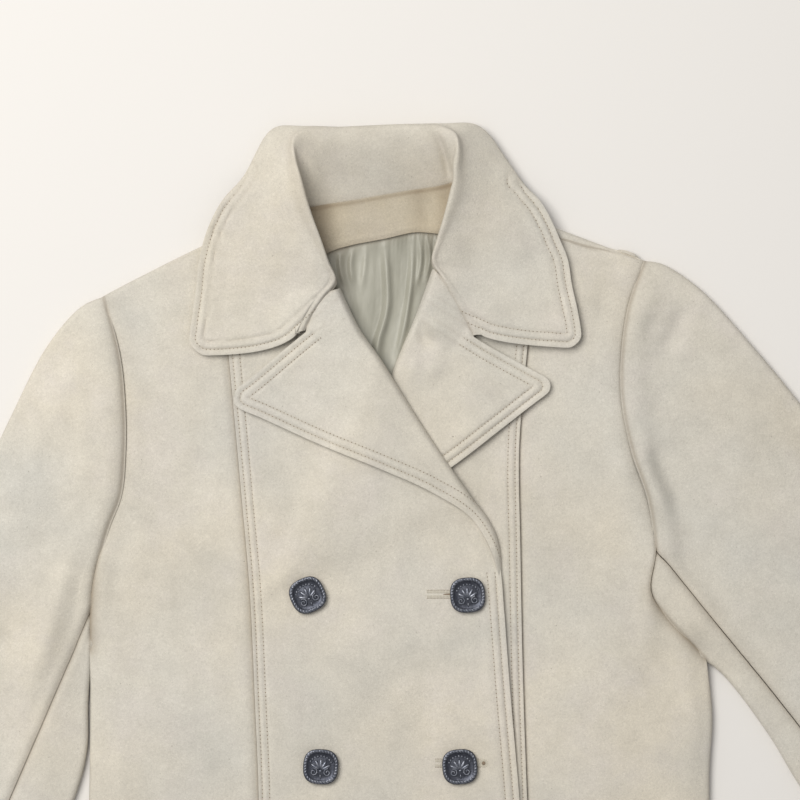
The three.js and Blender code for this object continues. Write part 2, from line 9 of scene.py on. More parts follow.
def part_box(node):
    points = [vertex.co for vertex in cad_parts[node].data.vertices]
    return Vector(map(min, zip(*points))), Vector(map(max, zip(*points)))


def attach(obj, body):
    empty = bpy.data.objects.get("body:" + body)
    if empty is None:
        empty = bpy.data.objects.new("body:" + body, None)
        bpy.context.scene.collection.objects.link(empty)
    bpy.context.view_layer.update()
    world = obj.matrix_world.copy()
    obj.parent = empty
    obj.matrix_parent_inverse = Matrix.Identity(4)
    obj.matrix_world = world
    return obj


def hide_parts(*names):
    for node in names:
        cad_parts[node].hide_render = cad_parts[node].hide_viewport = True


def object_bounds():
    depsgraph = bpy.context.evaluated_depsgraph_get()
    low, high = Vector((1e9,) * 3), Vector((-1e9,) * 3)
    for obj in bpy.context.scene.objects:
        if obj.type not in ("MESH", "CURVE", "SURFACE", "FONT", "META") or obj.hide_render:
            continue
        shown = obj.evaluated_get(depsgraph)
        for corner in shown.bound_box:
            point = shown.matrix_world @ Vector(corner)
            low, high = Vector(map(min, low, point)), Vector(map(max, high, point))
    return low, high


# A cream wool coat laid flat: its finished cloth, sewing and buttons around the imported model.
# Tables are in millimetres on the pattern's own plan, "right" and "left" are the wearer's.
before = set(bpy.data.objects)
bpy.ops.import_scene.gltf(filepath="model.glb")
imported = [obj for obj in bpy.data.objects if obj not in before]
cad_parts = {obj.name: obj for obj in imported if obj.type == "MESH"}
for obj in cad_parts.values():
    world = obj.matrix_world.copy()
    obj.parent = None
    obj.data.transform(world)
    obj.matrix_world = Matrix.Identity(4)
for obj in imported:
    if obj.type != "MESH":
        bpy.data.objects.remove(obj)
cadLow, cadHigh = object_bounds()
mm = 0.001
planLow = np.array([-488.0, -606.0, 0.0])  # cuff and hem on the plan, the frame's low corner
toFrame = np.array([cadLow.x, cadLow.y, 0.0]) - planLow * mm

woolWall = 2.4
lapelWall = 2.8
collarWall = 3.0
liningWall = 1.0
foldRadius = 4.3
laidTop = 2 * foldRadius
underFrontTop = 6.4
overFrontTop = 9.2
layerGap = 0.35
lapelGap = 0.7
neckGap = 0.7
seamGap = 0.3
armholeGap = 0.6
lapelBump = 3.8
lapelRise = 9.0
leafUnderBack = 4.0
hemY = -606
armShare = 0.58


# Small sums and grids of points

def smooth(x, low, high):
    t = np.clip((np.asarray(x, float) - low) / (high - low), 0, 1)
    return t * t * (3 - 2 * t)


def lerp(a, b, t):
    return a + (b - a) * t


def rollShare(distance, radius):
    left = 1 - np.clip(distance / radius, 0, 1)
    return np.sqrt(1 - left * left)


def bell(distance, wide):
    return np.exp(-((distance / wide) ** 2))


def unit(vector):
    return vector / np.linalg.norm(vector)


def raised(flat, height):
    return np.concatenate([flat, height[..., None]], -1)


# Curves on the plan: each is a function of a share of its length

def lineReader(line):
    reach = np.concatenate([[0], np.cumsum(np.linalg.norm(np.diff(line, axis=0), axis=1))])
    reach /= reach[-1]

    def read(share):
        share = np.clip(share, 0, 1)
        return np.stack([np.interp(share, reach, line[:, k]) for k in range(line.shape[1])], -1)

    return read


def planCurve(points):
    knots = np.array(points, float)
    knots = np.vstack([2 * knots[0] - knots[1], knots, 2 * knots[-1] - knots[-2]])
    t = np.linspace(0, 1, 49)[:-1, None]
    spans = []
    for a, b, c, d in zip(knots, knots[1:], knots[2:], knots[3:]):
        before, here, after = (math.sqrt(np.linalg.norm(q - p)) for p, q in ((a, b), (b, c), (c, d)))
        leave = ((b - a) / before - (c - a) / (before + here) + (c - b) / here) * here
        arrive = ((c - b) / here - (d - b) / (here + after) + (d - c) / after) * here
        square = 3 * (c - b) - 2 * leave - arrive
        spans.append(b + leave * t + square * t**2 + (2 * (b - c) + leave + arrive) * t**3)
    return lineReader(np.vstack([*spans, knots[-2:-1]]))


def chain(first, second, share):
    def read(t):
        t = np.asarray(t, float)
        near, far = first(t / share), second((t - share) / (1 - share))
        return np.where(t[..., None] < share, near, far)

    return read


def backwards(curve):
    return lambda t: curve(1 - np.asarray(t, float))


def straight(start, end):
    return lambda t: lerp(start, end, np.asarray(t, float)[..., None])


def moved(curve, distance):
    step = 0.002

    def read(t):
        t = np.asarray(t, float)
        ahead = curve(np.minimum(1, t + step)) - curve(np.maximum(0, t - step))
        ahead = ahead / np.linalg.norm(ahead, axis=-1, keepdims=True)
        aside = np.stack([-ahead[..., 1], ahead[..., 0]], -1)
        amount = distance(t)[..., None] if callable(distance) else distance
        return curve(t) + aside * amount

    return read


def planPatch(inner, outer, near, far):
    corners = [curve(end) for curve in (near, far) for end in (0.0, 1.0)]

    def read(across, along):
        a, b = across[..., None], along[..., None]
        point = inner(along) * (1 - a) + outer(along) * a + near(across) * (1 - b) + far(across) * b
        point = point - corners[0] * (1 - a) * (1 - b) - corners[1] * a * (1 - b)
        return point - corners[2] * (1 - a) * b - corners[3] * a * b

    return read


def sampled(curve, count=240):
    return curve(np.linspace(0, 1, count))


def distanceTo(points, path):
    # how far each point is from a path, and where along the path its nearest point lies
    axes = path.shape[1]
    flat = points.reshape(-1, points.shape[-1])[:, :axes]
    reach = np.concatenate([[0], np.cumsum(np.linalg.norm(np.diff(path, axis=0), axis=1))])
    best = np.full(len(flat), np.inf)
    where = np.zeros(len(flat))
    for k, (a, b) in enumerate(zip(path, path[1:])):
        run = b - a
        share = np.clip((flat - a) @ run / max(run @ run, 1e-9), 0, 1)
        gap = np.linalg.norm(flat - a - share[:, None] * run, axis=1)
        nearer = gap < best
        best[nearer] = gap[nearer]
        where[nearer] = (reach[k] + share * (reach[k + 1] - reach[k]))[nearer] / reach[-1]
    return best.reshape(points.shape[:-1]), where.reshape(points.shape[:-1])


def gapTo(points, path):
    return distanceTo(points, path)[0]


def spread(lengths, step, atStart=(), atEnd=()):
    # shares of each length: marks in mm at either end, and even steps between them
    lengths = np.atleast_1d(np.asarray(lengths, float))[:, None]
    start = np.array([0.0, *atStart])
    end = np.array([0.0, *atEnd])
    start = start * np.minimum(1 / lengths, 0.4 / max(start.max(), 1))
    end = 1 - (end * np.minimum(1 / lengths, 0.4 / max(end.max(), 1)))[:, ::-1]
    count = max(3, math.ceil(lengths.max() / step))
    inside = lerp(start[:, -1:], end[:, :1], np.linspace(0, 1, count + 1)[None, 1:-1])
    return np.hstack([start, inside, end])


def spreadGrid(plan, length, rowStep, columnStep, rowMarks=((), ()), columnMarks=((), ())):
    along = spread(length, rowStep, *rowMarks)[0]
    ends = np.zeros(len(along)), np.ones(len(along))
    widths = np.linalg.norm(plan(ends[1], along) - plan(ends[0], along), axis=1)
    across = spread(widths, columnStep, *columnMarks)
    return across, np.repeat(along[:, None], across.shape[1], 1)


# The coat's outlines on the plan

sideRight = [[-253, hemY], [-245, -424], [-240, -308], [-239, -231], [-239, -192]]
sideLeft = [[257, hemY], [245, -447], [239, -323], [239, -285], [241, -243], [236, -199]]
armholeRight = [
    [-239, -192], [-237, -145], [-226, -100], [-216, -73], [-213, -42], [-213, -6], [-217, 35], [-229, 80],
]
armholeLeft = [
    [236, -199], [206, -167], [193, -148], [197, -114], [192, -77], [179, -38], [171, 10], [176, 69],
    [189, 107],
]
shoulderRight = [[-229, 80], [-181, 105], [-140, 125]]
shoulderLeft = [[189, 107], [146, 123], [109, 137]]
collarShoulderRight = [[-140, 125], [-116, 138], [-82, 152]]
collarShoulderLeft = [[109, 137], [85, 146], [53, 158]]
princessRight = [
    [-112, hemY], [-109, -424], [-109, -308], [-112, -231], [-116, -146], [-122, -77], [-129, 0], [-136, 77],
    [-140, 125],
]
princessLeft = [
    [111, hemY], [103, -424], [98, -304], [95, -216], [93, -116], [92, -38], [96, 15], [103, 85], [109, 137],
]
frontEdgeRight = [
    [110, hemY], [100, -424], [92, -308], [85, -227], [80, -160], [77.6, -132], [74.6, -116], [68, -106],
]
frontEdgeLeft = [[-79, hemY], [-78, -308], [-76, -185], [-66, -118]]
rollRight = [
    [78.9, -146], [78, -122], [74.8, -105], [67, -90], [55, -74.5], [19, -22], [-15, 32], [-31, 55],
    [-46, 86],
]
rollLeft = [[-58, -104], [-37, -58], [-18, -12], [-2, 32], [12, 65], [25, 101]]
lapelEdgeRight = [
    [78.4, -146], [73.2, -124], [66, -107], [53, -89], [23, -70], [-15, -53], [-62, -34], [-106, -14],
    [-124, -6], [-134, 3.5],
]
lapelEdgeLeft = [[-52, -106], [-15, -88], [42, -50], [77, -23], [104, -2], [115, 6], [122.5, 11.5]]
gorgeRight = [[-46, 86], [-59.8, 80.2], [-68.9, 66.8], [-72.4, 52.7]]
gorgeLeft = [[25, 101], [34, 91.8], [46.8, 71.6], [56.6, 50]]
lapelTopRight = [[-72, 52.5], [-85, 42], [-114, 17.5], [-124, 10], [-134, 3.5]]
lapelTopLeft = [[56, 49], [69, 41], [99, 24.5], [111, 18], [122.5, 11.5]]
neckRight = [[-82, 152], [-76, 140], [-70, 125], [-60, 107], [-51, 86]]
neckLeft = [[53, 158], [48, 150], [42, 136], [36, 119], [30, 101]]
backNeck = [
    [-82, 152], [-72, 145], [-58, 147], [-38, 150], [-15, 154], [8, 158], [28, 161], [40, 160], [53, 158],
]


# Heights of the layers

def ground(x, y):
    sideways = smooth(x, -125, -92) * (1 - smooth(x, 62, 92))
    return leafUnderBack * sideways * smooth(y, 104, 138)


def overLeftLapel(x, y):
    corners = [[-2, 36], [-60, -106], [56, -62]]
    nearest = np.full(np.shape(x), np.inf)
    for (ax, ay), (bx, by) in zip(corners, corners[1:] + corners[:1]):
        inside = ((bx - ax) * (y - ay) - (by - ay) * (x - ax)) / math.hypot(bx - ax, by - ay)
        nearest = np.minimum(nearest, inside)
    return smooth(nearest, -34, -5)


def rightFrontTop(x, y):
    flat = lerp(laidTop, overFrontTop, smooth(x, -160, -90) * (1 - smooth(y, 60, 100)))
    return flat + lapelBump * overLeftLapel(x, y) + ground(x, y)


def ease(x, y):
    return 0.5 + 0.25 * (np.sin(x / 29 + y / 53) + np.cos(y / 41 - x / 67))


def leftFrontTop(x, y):
    beside = np.maximum(smooth(x, 118, 175), smooth(y, 45, 90))
    eased = 0.5 * ease(x, y) * (1 - smooth(y, -90, -30))
    return lerp(underFrontTop, laidTop, beside) - eased + ground(x, y)


class Half:
    pass


def makeHalf(turn, side, armhole, princess, shoulder, collarShoulder, neck, roll, top, wrap):
    half = Half()
    half.turn, half.top = turn, top
    half.side, half.armhole = planCurve(side), planCurve(armhole)
    half.princess, half.roll = planCurve(princess), planCurve(roll)
    half.shoulder, half.collarShoulder = planCurve(shoulder), planCurve(collarShoulder)
    half.neck = planCurve(neck)
    half.edge = chain(half.side, half.armhole, armShare)
    half.fold = np.vstack([sampled(half.shoulder, 60), sampled(half.collarShoulder, 60)])
    half.sidePath = sampled(half.side, 120)
    half.armPath = sampled(half.armhole, 160)
    half.wrap = wrap
    half.wrapShoulder = moved(half.shoulder, lambda t: -turn * (0.25 + wrap * smooth(t, 0.05, 0.8)))
    half.wrapCollar = moved(half.collarShoulder, -turn * (0.25 + wrap))
    return half


right = makeHalf(
    1, sideRight, armholeRight, princessRight, shoulderRight, collarShoulderRight, neckRight, rollRight,
    rightFrontTop, 1.5,
)
left = makeHalf(
    -1, sideLeft, armholeLeft, princessLeft, shoulderLeft, collarShoulderLeft, neckLeft, rollLeft,
    leftFrontTop, 7.0,
)

# Soft folds, listed one by one. Each is a path on the plan, its width and its height, below 0 for a trough

bodyFolds = [
    ([[196, -96], [197, -123], [193, -152], [190, -186]], 8, 2.6),
    ([[196, -190], [206, -223], [226, -238]], 12, -1.5),
    ([[214, -176], [226, -198], [232, -240], [230, -300]], 9, 1.8),
    ([[178, -20], [172, -60], [180, -100]], 10, 1.0),
    ([[158, 92], [162, 76], [158, 55]], 9, -1.4),
    ([[-229, -112], [-230, -135], [-229, -160]], 8, 1.6),
    ([[-214, -150], [-205, -200], [-190, -236]], 15, -1.0),
    ([[-205, -60], [-199, -100], [-204, -140]], 12, 1.0),
    ([[-190, 70], [-176, 30], [-168, -20]], 20, 0.9),
    ([[-150, -120], [-158, -220], [-152, -330]], 26, 0.8),
    ([[-60, -170], [-20, -196], [30, -176]], 18, 0.7),
    ([[-44, -250], [-10, -268], [34, -250]], 20, -0.6),
    ([[150, -190], [160, -260], [150, -340]], 24, 0.9),
    ([[-210, -420], [-120, -455], [-20, -440]], 26, 0.9),
    ([[40, -470], [130, -500], [220, -470]], 24, 0.8),
]
sleeveFolds = [
    ([[183, -22], [188, -50], [199, -78], [208, -100]], 8, 2.6),
    ([[193, -30], [204, -58], [220, -90]], 8, -1.8),
    ([[221, 76], [214, 56], [206, 44], [198, 34]], 8, -2.6),
    ([[200, 66], [192, 54], [188, 40]], 7, -1.6),
    ([[226, 92], [236, 76], [246, 60]], 9, 1.4),
    ([[205, -120], [232, -170], [274, -228]], 13, 1.8),
    ([[240, -20], [276, -80], [330, -150]], 24, 1.5),
    ([[214, -108], [250, -160], [300, -215]], 12, -1.2),
    ([[330, -160], [392, -250], [440, -320]], 18, 1.4),
    ([[300, -250], [350, -290], [420, -300]], 16, -1.3),
    ([[-246, -98], [-256, -132], [-272, -182], [-290, -240]], 10, 2.8),
    ([[-300, -128], [-300, -165], [-308, -210]], 14, -1.8),
    ([[-232, 20], [-240, -30], [-244, -80]], 12, 1.4),
    ([[-272, 20], [-288, -40], [-312, -96]], 18, 1.2),
    ([[-258, -60], [-270, -100], [-288, -130]], 12, -1.0),
    ([[-330, -230], [-370, -310], [-420, -400]], 18, 1.5),
    ([[-290, -300], [-340, -350], [-400, -350]], 15, -1.2),
]
backFolds = [
    ([[-200, -60], [-120, -90], [-30, -80]], 16, 0.9),
    ([[200, -90], [120, -130], [40, -120]], 18, 0.8),
    ([[-190, -240], [-150, -330], [-160, -440]], 20, 0.8),
    ([[150, -260], [170, -360], [140, -470]], 22, 0.9),
    ([[-20, 90], [-8, -60], [-4, -240]], 14, 0.7),
]


def foldHeight(points, folds, strong=1.7):
    height = np.zeros(points.shape[:-1])
    for line, wide, high in folds:
        path = sampled(planCurve(line), 16)
        gap, where = distanceTo(points[..., :2], path)
        ends = smooth(where, -0.02, 0.35) * (1 - smooth(where, 0.65, 1.02))
        height += strong * high * bell(gap, wide) * (0.15 + 0.85 * ends)
    return height


def lumps(x, y, size, high):
    sideways = np.sin(x / size + 1.3 * np.sin(y / size * 0.7))
    upwards = np.sin(y / size * 1.23 + 0.9 * np.sin(x / size))
    return high * (1 + 0.5 * (sideways + upwards))


buttonRows = [-150, -282, -413]
buttonColumns = {"right": [-71, -61, -56], "left": [52, 46, 48]}


def bodyRelief(points):
    x, y = points[..., 0], points[..., 1]
    lift = lumps(x, y, 27, 0.35) + lumps(x + 40, y - 15, 61, 0.5) + foldHeight(points, bodyFolds)
    for row, level in enumerate(buttonRows):  # the thread holds the cloth down round a button
        for column in buttonColumns.values():
            gap = np.hypot(x - column[row], y - level)
            lift = lift - 0.7 * bell(gap, 20) + 0.5 * bell(gap - 24, 9)
    return np.maximum(lift, -0.2)


# Sewn edges: a groove at each row of stitches and a soft ridge between them

edgeRows = (4.6, 10.8)
seamRows = (3.0, 8.5)
edgeMarks = (1.2, 2.4, 3.4, 4.1, 4.6, 5.2, 6.4, 7.8, 9.2, 10.2, 10.8, 11.5, 13, 15.5)
seamMarks = (1.1, 2.2, 3.0, 3.8, 4.8, 6, 7.4, 8.5, 9.4, 11, 13.5)
groove = {"deep": 0.5, "wide": 0.85}


def puffed(distance, rows, high):
    start = 0.0
    lift = np.zeros(distance.shape)
    for row in rows:
        share = np.clip((distance - start) / (row - start), 0, 1)
        share = share if start else 0.3 + 0.7 * share
        band = (distance >= start) & (distance < row)
        lift = np.where(band, high * np.sin(np.pi * share) ** 0.8, lift)
        start = row
    beyond = np.maximum(distance - start, 0)
    lift = np.where(distance >= start, high * 0.55 * (beyond / 3) * np.exp(1 - beyond / 3), lift)
    for row in rows:
        lift = lift - groove["deep"] * bell(distance - row, groove["wide"])
    return lift


def longer(path, reach):
    # a path carried straight on past its first point
    ahead = path[0] - path[min(4, len(path) - 1)]
    return np.vstack([path[0] + ahead / np.linalg.norm(ahead) * reach, path])


def roundCorner(points, toOne, toTwo, outOne, outTwo, radius):
    # the square corner between two edges turned into a round one, rows of stitches and all
    u, v = np.maximum(radius - toOne, 0), np.maximum(radius - toTwo, 0)
    both = (u > 0) & (v > 0)
    share = np.where(both, np.maximum(u, v) / np.maximum(np.hypot(u, v), 1e-9), 1)
    p, q = -u * (1 - share), -v * (1 - share)
    lean = float(outOne @ outTwo)
    a, b = (p - lean * q) / (1 - lean**2), (q - lean * p) / (1 - lean**2)
    return points + a[..., None] * outOne + b[..., None] * outTwo


def normalsOf(points):
    along = np.gradient(points, axis=0)
    across = np.gradient(points, axis=1)
    normal = np.cross(across, along)
    return normal / np.maximum(np.linalg.norm(normal, axis=-1, keepdims=True), 1e-9)


def upwardNormals(points):
    normals = normalsOf(points)
    return normals * np.sign(normals[..., 2:])


def areaOf(points):
    one = np.cross(points[1:, :-1] - points[:-1, :-1], points[:-1, 1:] - points[:-1, :-1])
    two = np.cross(points[1:, :-1] - points[1:, 1:], points[:-1, 1:] - points[1:, 1:])
    return float((np.linalg.norm(one, axis=-1) + np.linalg.norm(two, axis=-1)).sum() / 2) * mm * mm


# Meshes and objects

def meshFrom(name, work):
    mesh = bpy.data.meshes.new(name)
    work.to_mesh(mesh)
    work.free()
    return mesh


def vertexPlaces(mesh):
    flat = np.empty(len(mesh.vertices) * 3)
    mesh.vertices.foreach_get("co", flat)
    return flat.reshape(-1, 3)


def setPlaces(mesh, places):
    mesh.vertices.foreach_set("co", places.ravel())
    mesh.update()


# painted shade stored on each cloth point; the buttons store the real dark patina of their hollows here
def setShadeAndPatina(mesh, values):
    layer = mesh.attributes.new("shadeAndPatina", "FLOAT", "POINT")
    layer.data.foreach_set("value", values)


def linked(name, data):
    thing = bpy.data.objects.new(name, data)
    bpy.context.scene.collection.objects.link(thing)
    return thing


def meshPiece(name, mesh, look):
    mesh.shade_smooth()
    mesh.materials.append(look)
    piece = linked(name, mesh)
    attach(piece, "root")
    return piece


# A piece of cloth: a grid laid on the worked-out points, given a wall and soft rims

def clothPiece(name, points, facing, wall, look, shade, rim):
    rows, columns = points.shape[:2]
    work = bmesh.new()
    work.loops.layers.uv.new("UVMap")
    bmesh.ops.create_grid(
        work, x_segments=columns - 1, y_segments=rows - 1, size=0.5, calc_uvs=True,
    )
    mesh = meshFrom(name, work)
    flat = vertexPlaces(mesh)
    column = np.rint((flat[:, 0] + 0.5) * (columns - 1)).astype(int)
    row = np.rint((flat[:, 1] + 0.5) * (rows - 1)).astype(int)
    setPlaces(mesh, points[row, column] * mm + toFrame)
    setShadeAndPatina(mesh, np.clip(shade, 0, 1)[row, column].ravel())
    normal = np.empty(len(mesh.polygons) * 3)
    size = np.empty(len(mesh.polygons))
    mesh.polygons.foreach_get("normal", normal)
    mesh.polygons.foreach_get("area", size)
    if (normal.reshape(-1, 3) * size[:, None]).sum(0) @ np.array(facing, float) < 0:
        mesh.flip_normals()
    piece = meshPiece(name, mesh, look)
    solid = piece.modifiers.new("wall", "SOLIDIFY")
    solid.thickness = wall * mm
    solid.offset = -1
    solid.use_quality_normals = True
    edge = piece.modifiers.new("soft rim", "BEVEL")
    edge.width = rim * mm
    edge.segments = 3
    edge.limit_method = "ANGLE"
    edge.angle_limit = math.radians(50)
    return piece


def heightOn(piece, x, y):
    graph = bpy.context.evaluated_depsgraph_get()
    spot = np.array([x, y, 0]) * mm + toFrame
    above, down = Vector((spot[0], spot[1], 0.2)), Vector((0, 0, -1))
    hit, place, _, _ = piece.evaluated_get(graph).ray_cast(above, down)
    return place.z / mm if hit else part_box("centre_front_right")[1][2] / mm


def finishCloth(piece, node, area):
    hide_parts(node)
    print(f"{piece.name}: {len(piece.data.polygons)} faces, {area:.4f} m2 shown")


# Node materials

def addNode(tree, kind, inputs=None, output=0, **settings):
    node = tree.nodes.new("ShaderNode" + kind)
    for key, value in settings.items():
        setattr(node, key, value)
    for key, value in (inputs or {}).items():
        if isinstance(value, bpy.types.NodeSocket):
            tree.links.new(value, node.inputs[key])
        else:
            node.inputs[key].default_value = value
    return node.outputs[output]


def noise(tree, place, scale, detail=3.0, rough=0.55, stretch=None, bend=0.0):
    if stretch:
        place = addNode(tree, "Mapping", {"Vector": place, "Scale": stretch})
    inputs = {"Vector": place, "Scale": scale, "Detail": detail, "Roughness": rough, "Distortion": bend}
    return addNode(tree, "TexNoise", inputs)


def ranged(tree, value, low, high, bottom, top):
    inputs = {"Value": value, 1: low, 2: high, 3: bottom, 4: top}
    return addNode(tree, "MapRange", inputs)


def mixed(tree, share, first, second, blend="MIX"):
    inputs = {0: share, 6: first, 7: second}
    return addNode(tree, "Mix", inputs, output=2, data_type="RGBA", blend_type=blend)


def summed(tree, first, second, operation="ADD"):
    return addNode(tree, "Math", {0: first, 1: second}, operation=operation)


def startMaterial(name):
    material = bpy.data.materials.new(name)
    material.use_nodes = True
    tree = material.node_tree
    return material, tree, addNode(tree, "TexCoord", output=3)


def finishLook(material, colour, sockets, height=None, bump=None):
    # the colour is linked, and what is the same all over stands on its own socket
    tree = material.node_tree
    shader = tree.nodes["Principled BSDF"]
    tree.links.new(colour, shader.inputs["Base Color"])
    for socket, value in sockets.items():
        shader.inputs[socket].default_value = value
    if height is not None:
        relief = addNode(tree, "Bump", {"Height": height, **bump})
        tree.links.new(relief, shader.inputs["Normal"])
    return material


# reads the painted shade on cloth and the patina on the buttons
def shadeAndPatinaOf(tree):
    return addNode(tree, "Attribute", output=2, attribute_name="shadeAndPatina")


def product(tree, first, second):
    return summed(tree, first, second, "MULTIPLY")


woolLook = {
    "warm": (0.615, 0.560, 0.462, 1),
    "cool": (0.578, 0.556, 0.500, 1),
    "pink": (0.605, 0.560, 0.505, 1),
    "shadeBrown": (0.235, 0.180, 0.120, 1),
    "speck": (0.16, 0.13, 0.10, 1),
    "sockets": {
        "Roughness": 0.96, "Specular IOR Level": 0.14, "Sheen Weight": 0.12, "Sheen Roughness": 0.42,
        "Sheen Tint": (1.0, 0.97, 0.92, 1),
    },
    "bump": {"Strength": 0.6, "Distance": 0.0009},
}


def makeWool(name, warmth, look):
    material, tree, place = startMaterial(name)
    blotch = ranged(tree, noise(tree, place, 8, 3, 0.5), 0.34, 0.66, 0.0, 1.0)
    tone = summed(tree, product(tree, blotch, 0.7), warmth)
    colour = mixed(tree, tone, look["cool"], look["warm"])
    pink = ranged(tree, noise(tree, place, 21, 4, 0.6), 0.48, 0.70, 0.0, 0.55)
    colour = mixed(tree, pink, colour, look["pink"])
    wide = ranged(tree, noise(tree, place, 15, 3, 0.55), 0.3, 0.7, 0.94, 1.06)
    patches = ranged(tree, noise(tree, place, 70, 4, 0.62), 0.3, 0.7, 0.955, 1.045)
    mottle = ranged(tree, noise(tree, place, 420, 4, 0.75, bend=0.6), 0.3, 0.7, 0.94, 1.06)
    fibre = noise(tree, place, 950, 3, 0.7, bend=1.4)
    fibreTone = ranged(tree, fibre, 0.3, 0.7, 0.86, 1.12)
    light = product(tree, product(tree, patches, mottle), fibreTone)
    light = product(tree, light, wide)
    grey = addNode(tree, "CombineColor", {0: light, 1: light, 2: light})
    colour = mixed(tree, 1.0, colour, grey, "MULTIPLY")
    specks = ranged(tree, noise(tree, place, 520, 2, 0.5), 0.735, 0.79, 0.0, 0.55)
    colour = mixed(tree, specks, colour, look["speck"])
    # painted shade: the wool turns brown along seams, stitch rows, folds and under edges
    colour = mixed(tree, product(tree, shadeAndPatinaOf(tree), 0.8), colour, look["shadeBrown"])
    nap = noise(tree, place, 640, 4, 0.75, bend=0.8)
    height = summed(tree, product(tree, nap, 0.8), product(tree, fibre, 0.5))
    return finishLook(material, colour, look["sockets"], height, look["bump"])


bodyWool = makeWool("felted cream wool", 0.18, woolLook)
sleeveWool = makeWool("felted cream wool, sleeves", 0.08, woolLook)
collarWool = makeWool("felted cream wool, collar", 0.12, woolLook)
# the facing is the same cream wool, made darker and browner as painted shade for the hollow behind the
# collar
shadedFacingLook = {
    **woolLook,
    "warm": (0.50, 0.435, 0.325, 1),
    "cool": (0.45, 0.42, 0.36, 1),
    "pink": (0.47, 0.42, 0.35, 1),
}
shadedFacingWool = makeWool("felted cream wool, facing", 0.45, shadedFacingLook)
print("wool mixed")

# Body pieces

sideFrontLook = {
    "flat": (0.152, 0.742),
    "dome": 1.8, "domeReach": (20, 40, 110),
    "armDip": 1.3, "armSwell": 0.7, "seamDip": 1.5, "shoulderDip": 0.8,
    "seamShade": 0.42, "shoulderShade": 0.4, "armShade": 0.42, "pitShadow": 0.4,
}
centreFrontLook = {"seamPuff": 0.8, "edgePuff": 0.95, "rowShade": 0.12, "seamShade": 0.2}
bodyLength = 745
bodyGrid = {"rowStep": 4.6, "columnStep": 3.8}
rollMarks = (0.4, 1.0, 1.8, 2.8, 4.3, 6.2, 9.0)


def sideRoll(along):
    return 1 - smooth(along, armShare - 0.05, armShare)


def frontHeight(points, along, half):
    # the height of a front over the plan, rolled down at the side and at the shoulder
    x, y = points[..., 0], points[..., 1]
    toSide = gapTo(points, half.sidePath)
    toFold = gapTo(points, half.fold)
    toArm = gapTo(points, half.armPath)
    roll = lerp(1, rollShare(toSide, foldRadius), sideRoll(along))
    share = np.minimum(roll, rollShare(toFold, foldRadius))
    seam = foldRadius + seamGap / 2 + ground(x, y)
    rise = np.minimum(smooth(toSide, 0, 34), smooth(toFold, 0, 30))
    look = sideFrontLook
    full, falls, ends = look["domeReach"]
    lift = bodyRelief(points) * rise
    lift = lift + look["dome"] * smooth(toSide, 0, full) * (1 - smooth(toSide, falls, ends))
    lift = lift - look["armDip"] * bell(toArm, 1.8) * smooth(along, armShare - 0.04, armShare)
    lift = lift + look["armSwell"] * bell(toArm - 9, 7) * smooth(along, armShare - 0.02, armShare + 0.05)
    return lerp(seam, half.top(x, y) + lift, share), toArm, toFold


def sideFront(half, name):
    look = sideFrontLook
    princess = moved(half.princess, half.turn * seamGap / 2)
    princessPath = sampled(princess)
    plan = planPatch(half.edge, princess, straight(half.edge(0.0), princess(0.0)), half.wrapShoulder)
    across, along = spreadGrid(
        plan, bodyLength, bodyGrid["rowStep"], bodyGrid["columnStep"],
        rowMarks=((1.4,), (0.8, 1.6, 2.6, 4.2, 6.5)), columnMarks=(rollMarks, (0.8, 1.8, 3.2, 5)),
    )
    flat = plan(across, along)
    height, toArm, toFold = frontHeight(flat, along, half)
    toSeam = gapTo(flat, princessPath)
    height = height - look["seamDip"] * bell(toSeam, 3.4) * smooth(toFold, 0, 6)
    toWrap = gapTo(flat, sampled(half.wrapShoulder, 60))
    height = height - look["shoulderDip"] * bell(toWrap, 1.6) * smooth(toFold, 1, 4)
    points = raised(flat, height)
    # painted shade along the princess seam, the shoulder seam and the armhole, and a painted shadow under
    # the arm
    shade = look["seamShade"] * bell(toSeam, 1.1) + 0.10 * bell(toSeam, 5)
    shade = shade + look["shoulderShade"] * bell(toWrap, 0.9) * smooth(toFold, 1, 3)
    onArm = smooth(along, armShare - 0.05, armShare)
    shade = shade + onArm * (look["armShade"] * bell(toArm, 1.3) + 0.10 * bell(toArm, 7))
    shade = shade + look["pitShadow"] * onArm * bell(toArm - 1, 4.5) * (1 - smooth(along, 0.63, 0.7))
    piece = clothPiece(name, points, (0, 0, 1), woolWall, bodyWool, shade, 0.9)
    finishCloth(piece, name, areaOf(points))


stitchPitch = 3.0
sewing = []  # every row of stitches: for each stitch its place, its normal and the way it runs


def crossingLine(points, normals, field, level, keep=None):
    # where the distance from the last column's edge reaches a level, one point for each row
    found = []
    for row in range(points.shape[0]):
        inward = field[row, ::-1]
        past = np.nonzero(inward >= level)[0]
        if not len(past) or past[0] == 0:
            continue
        b = past[0]
        share = (level - inward[b - 1]) / max(inward[b] - inward[b - 1], 1e-9)
        i, j = points.shape[1] - b, points.shape[1] - 1 - b
        if keep is not None and lerp(keep[row, i], keep[row, j], share) < level - 0.1:
            continue
        spot = lerp(points[row, i], points[row, j], share)
        found.append([*spot, *lerp(normals[row, i], normals[row, j], share)])
    return np.array(found)


def sewRow(path):
    if len(path) < 4:
        return
    reach = np.concatenate([[0], np.cumsum(np.linalg.norm(np.diff(path[:, :3], axis=0), axis=1))])
    stops = np.arange(stitchPitch / 2, reach[-1], stitchPitch)
    around = [np.interp(stops + shift, reach, path[:, k]) for shift in (-0.4, 0.4) for k in range(3)]
    spots = np.stack([np.interp(stops, reach, path[:, k]) for k in range(6)], -1)
    ahead = np.stack(around[3:], -1) - np.stack(around[:3], -1)
    sewing.append(np.hstack([spots, ahead]))


hiddenRoll = 0.16


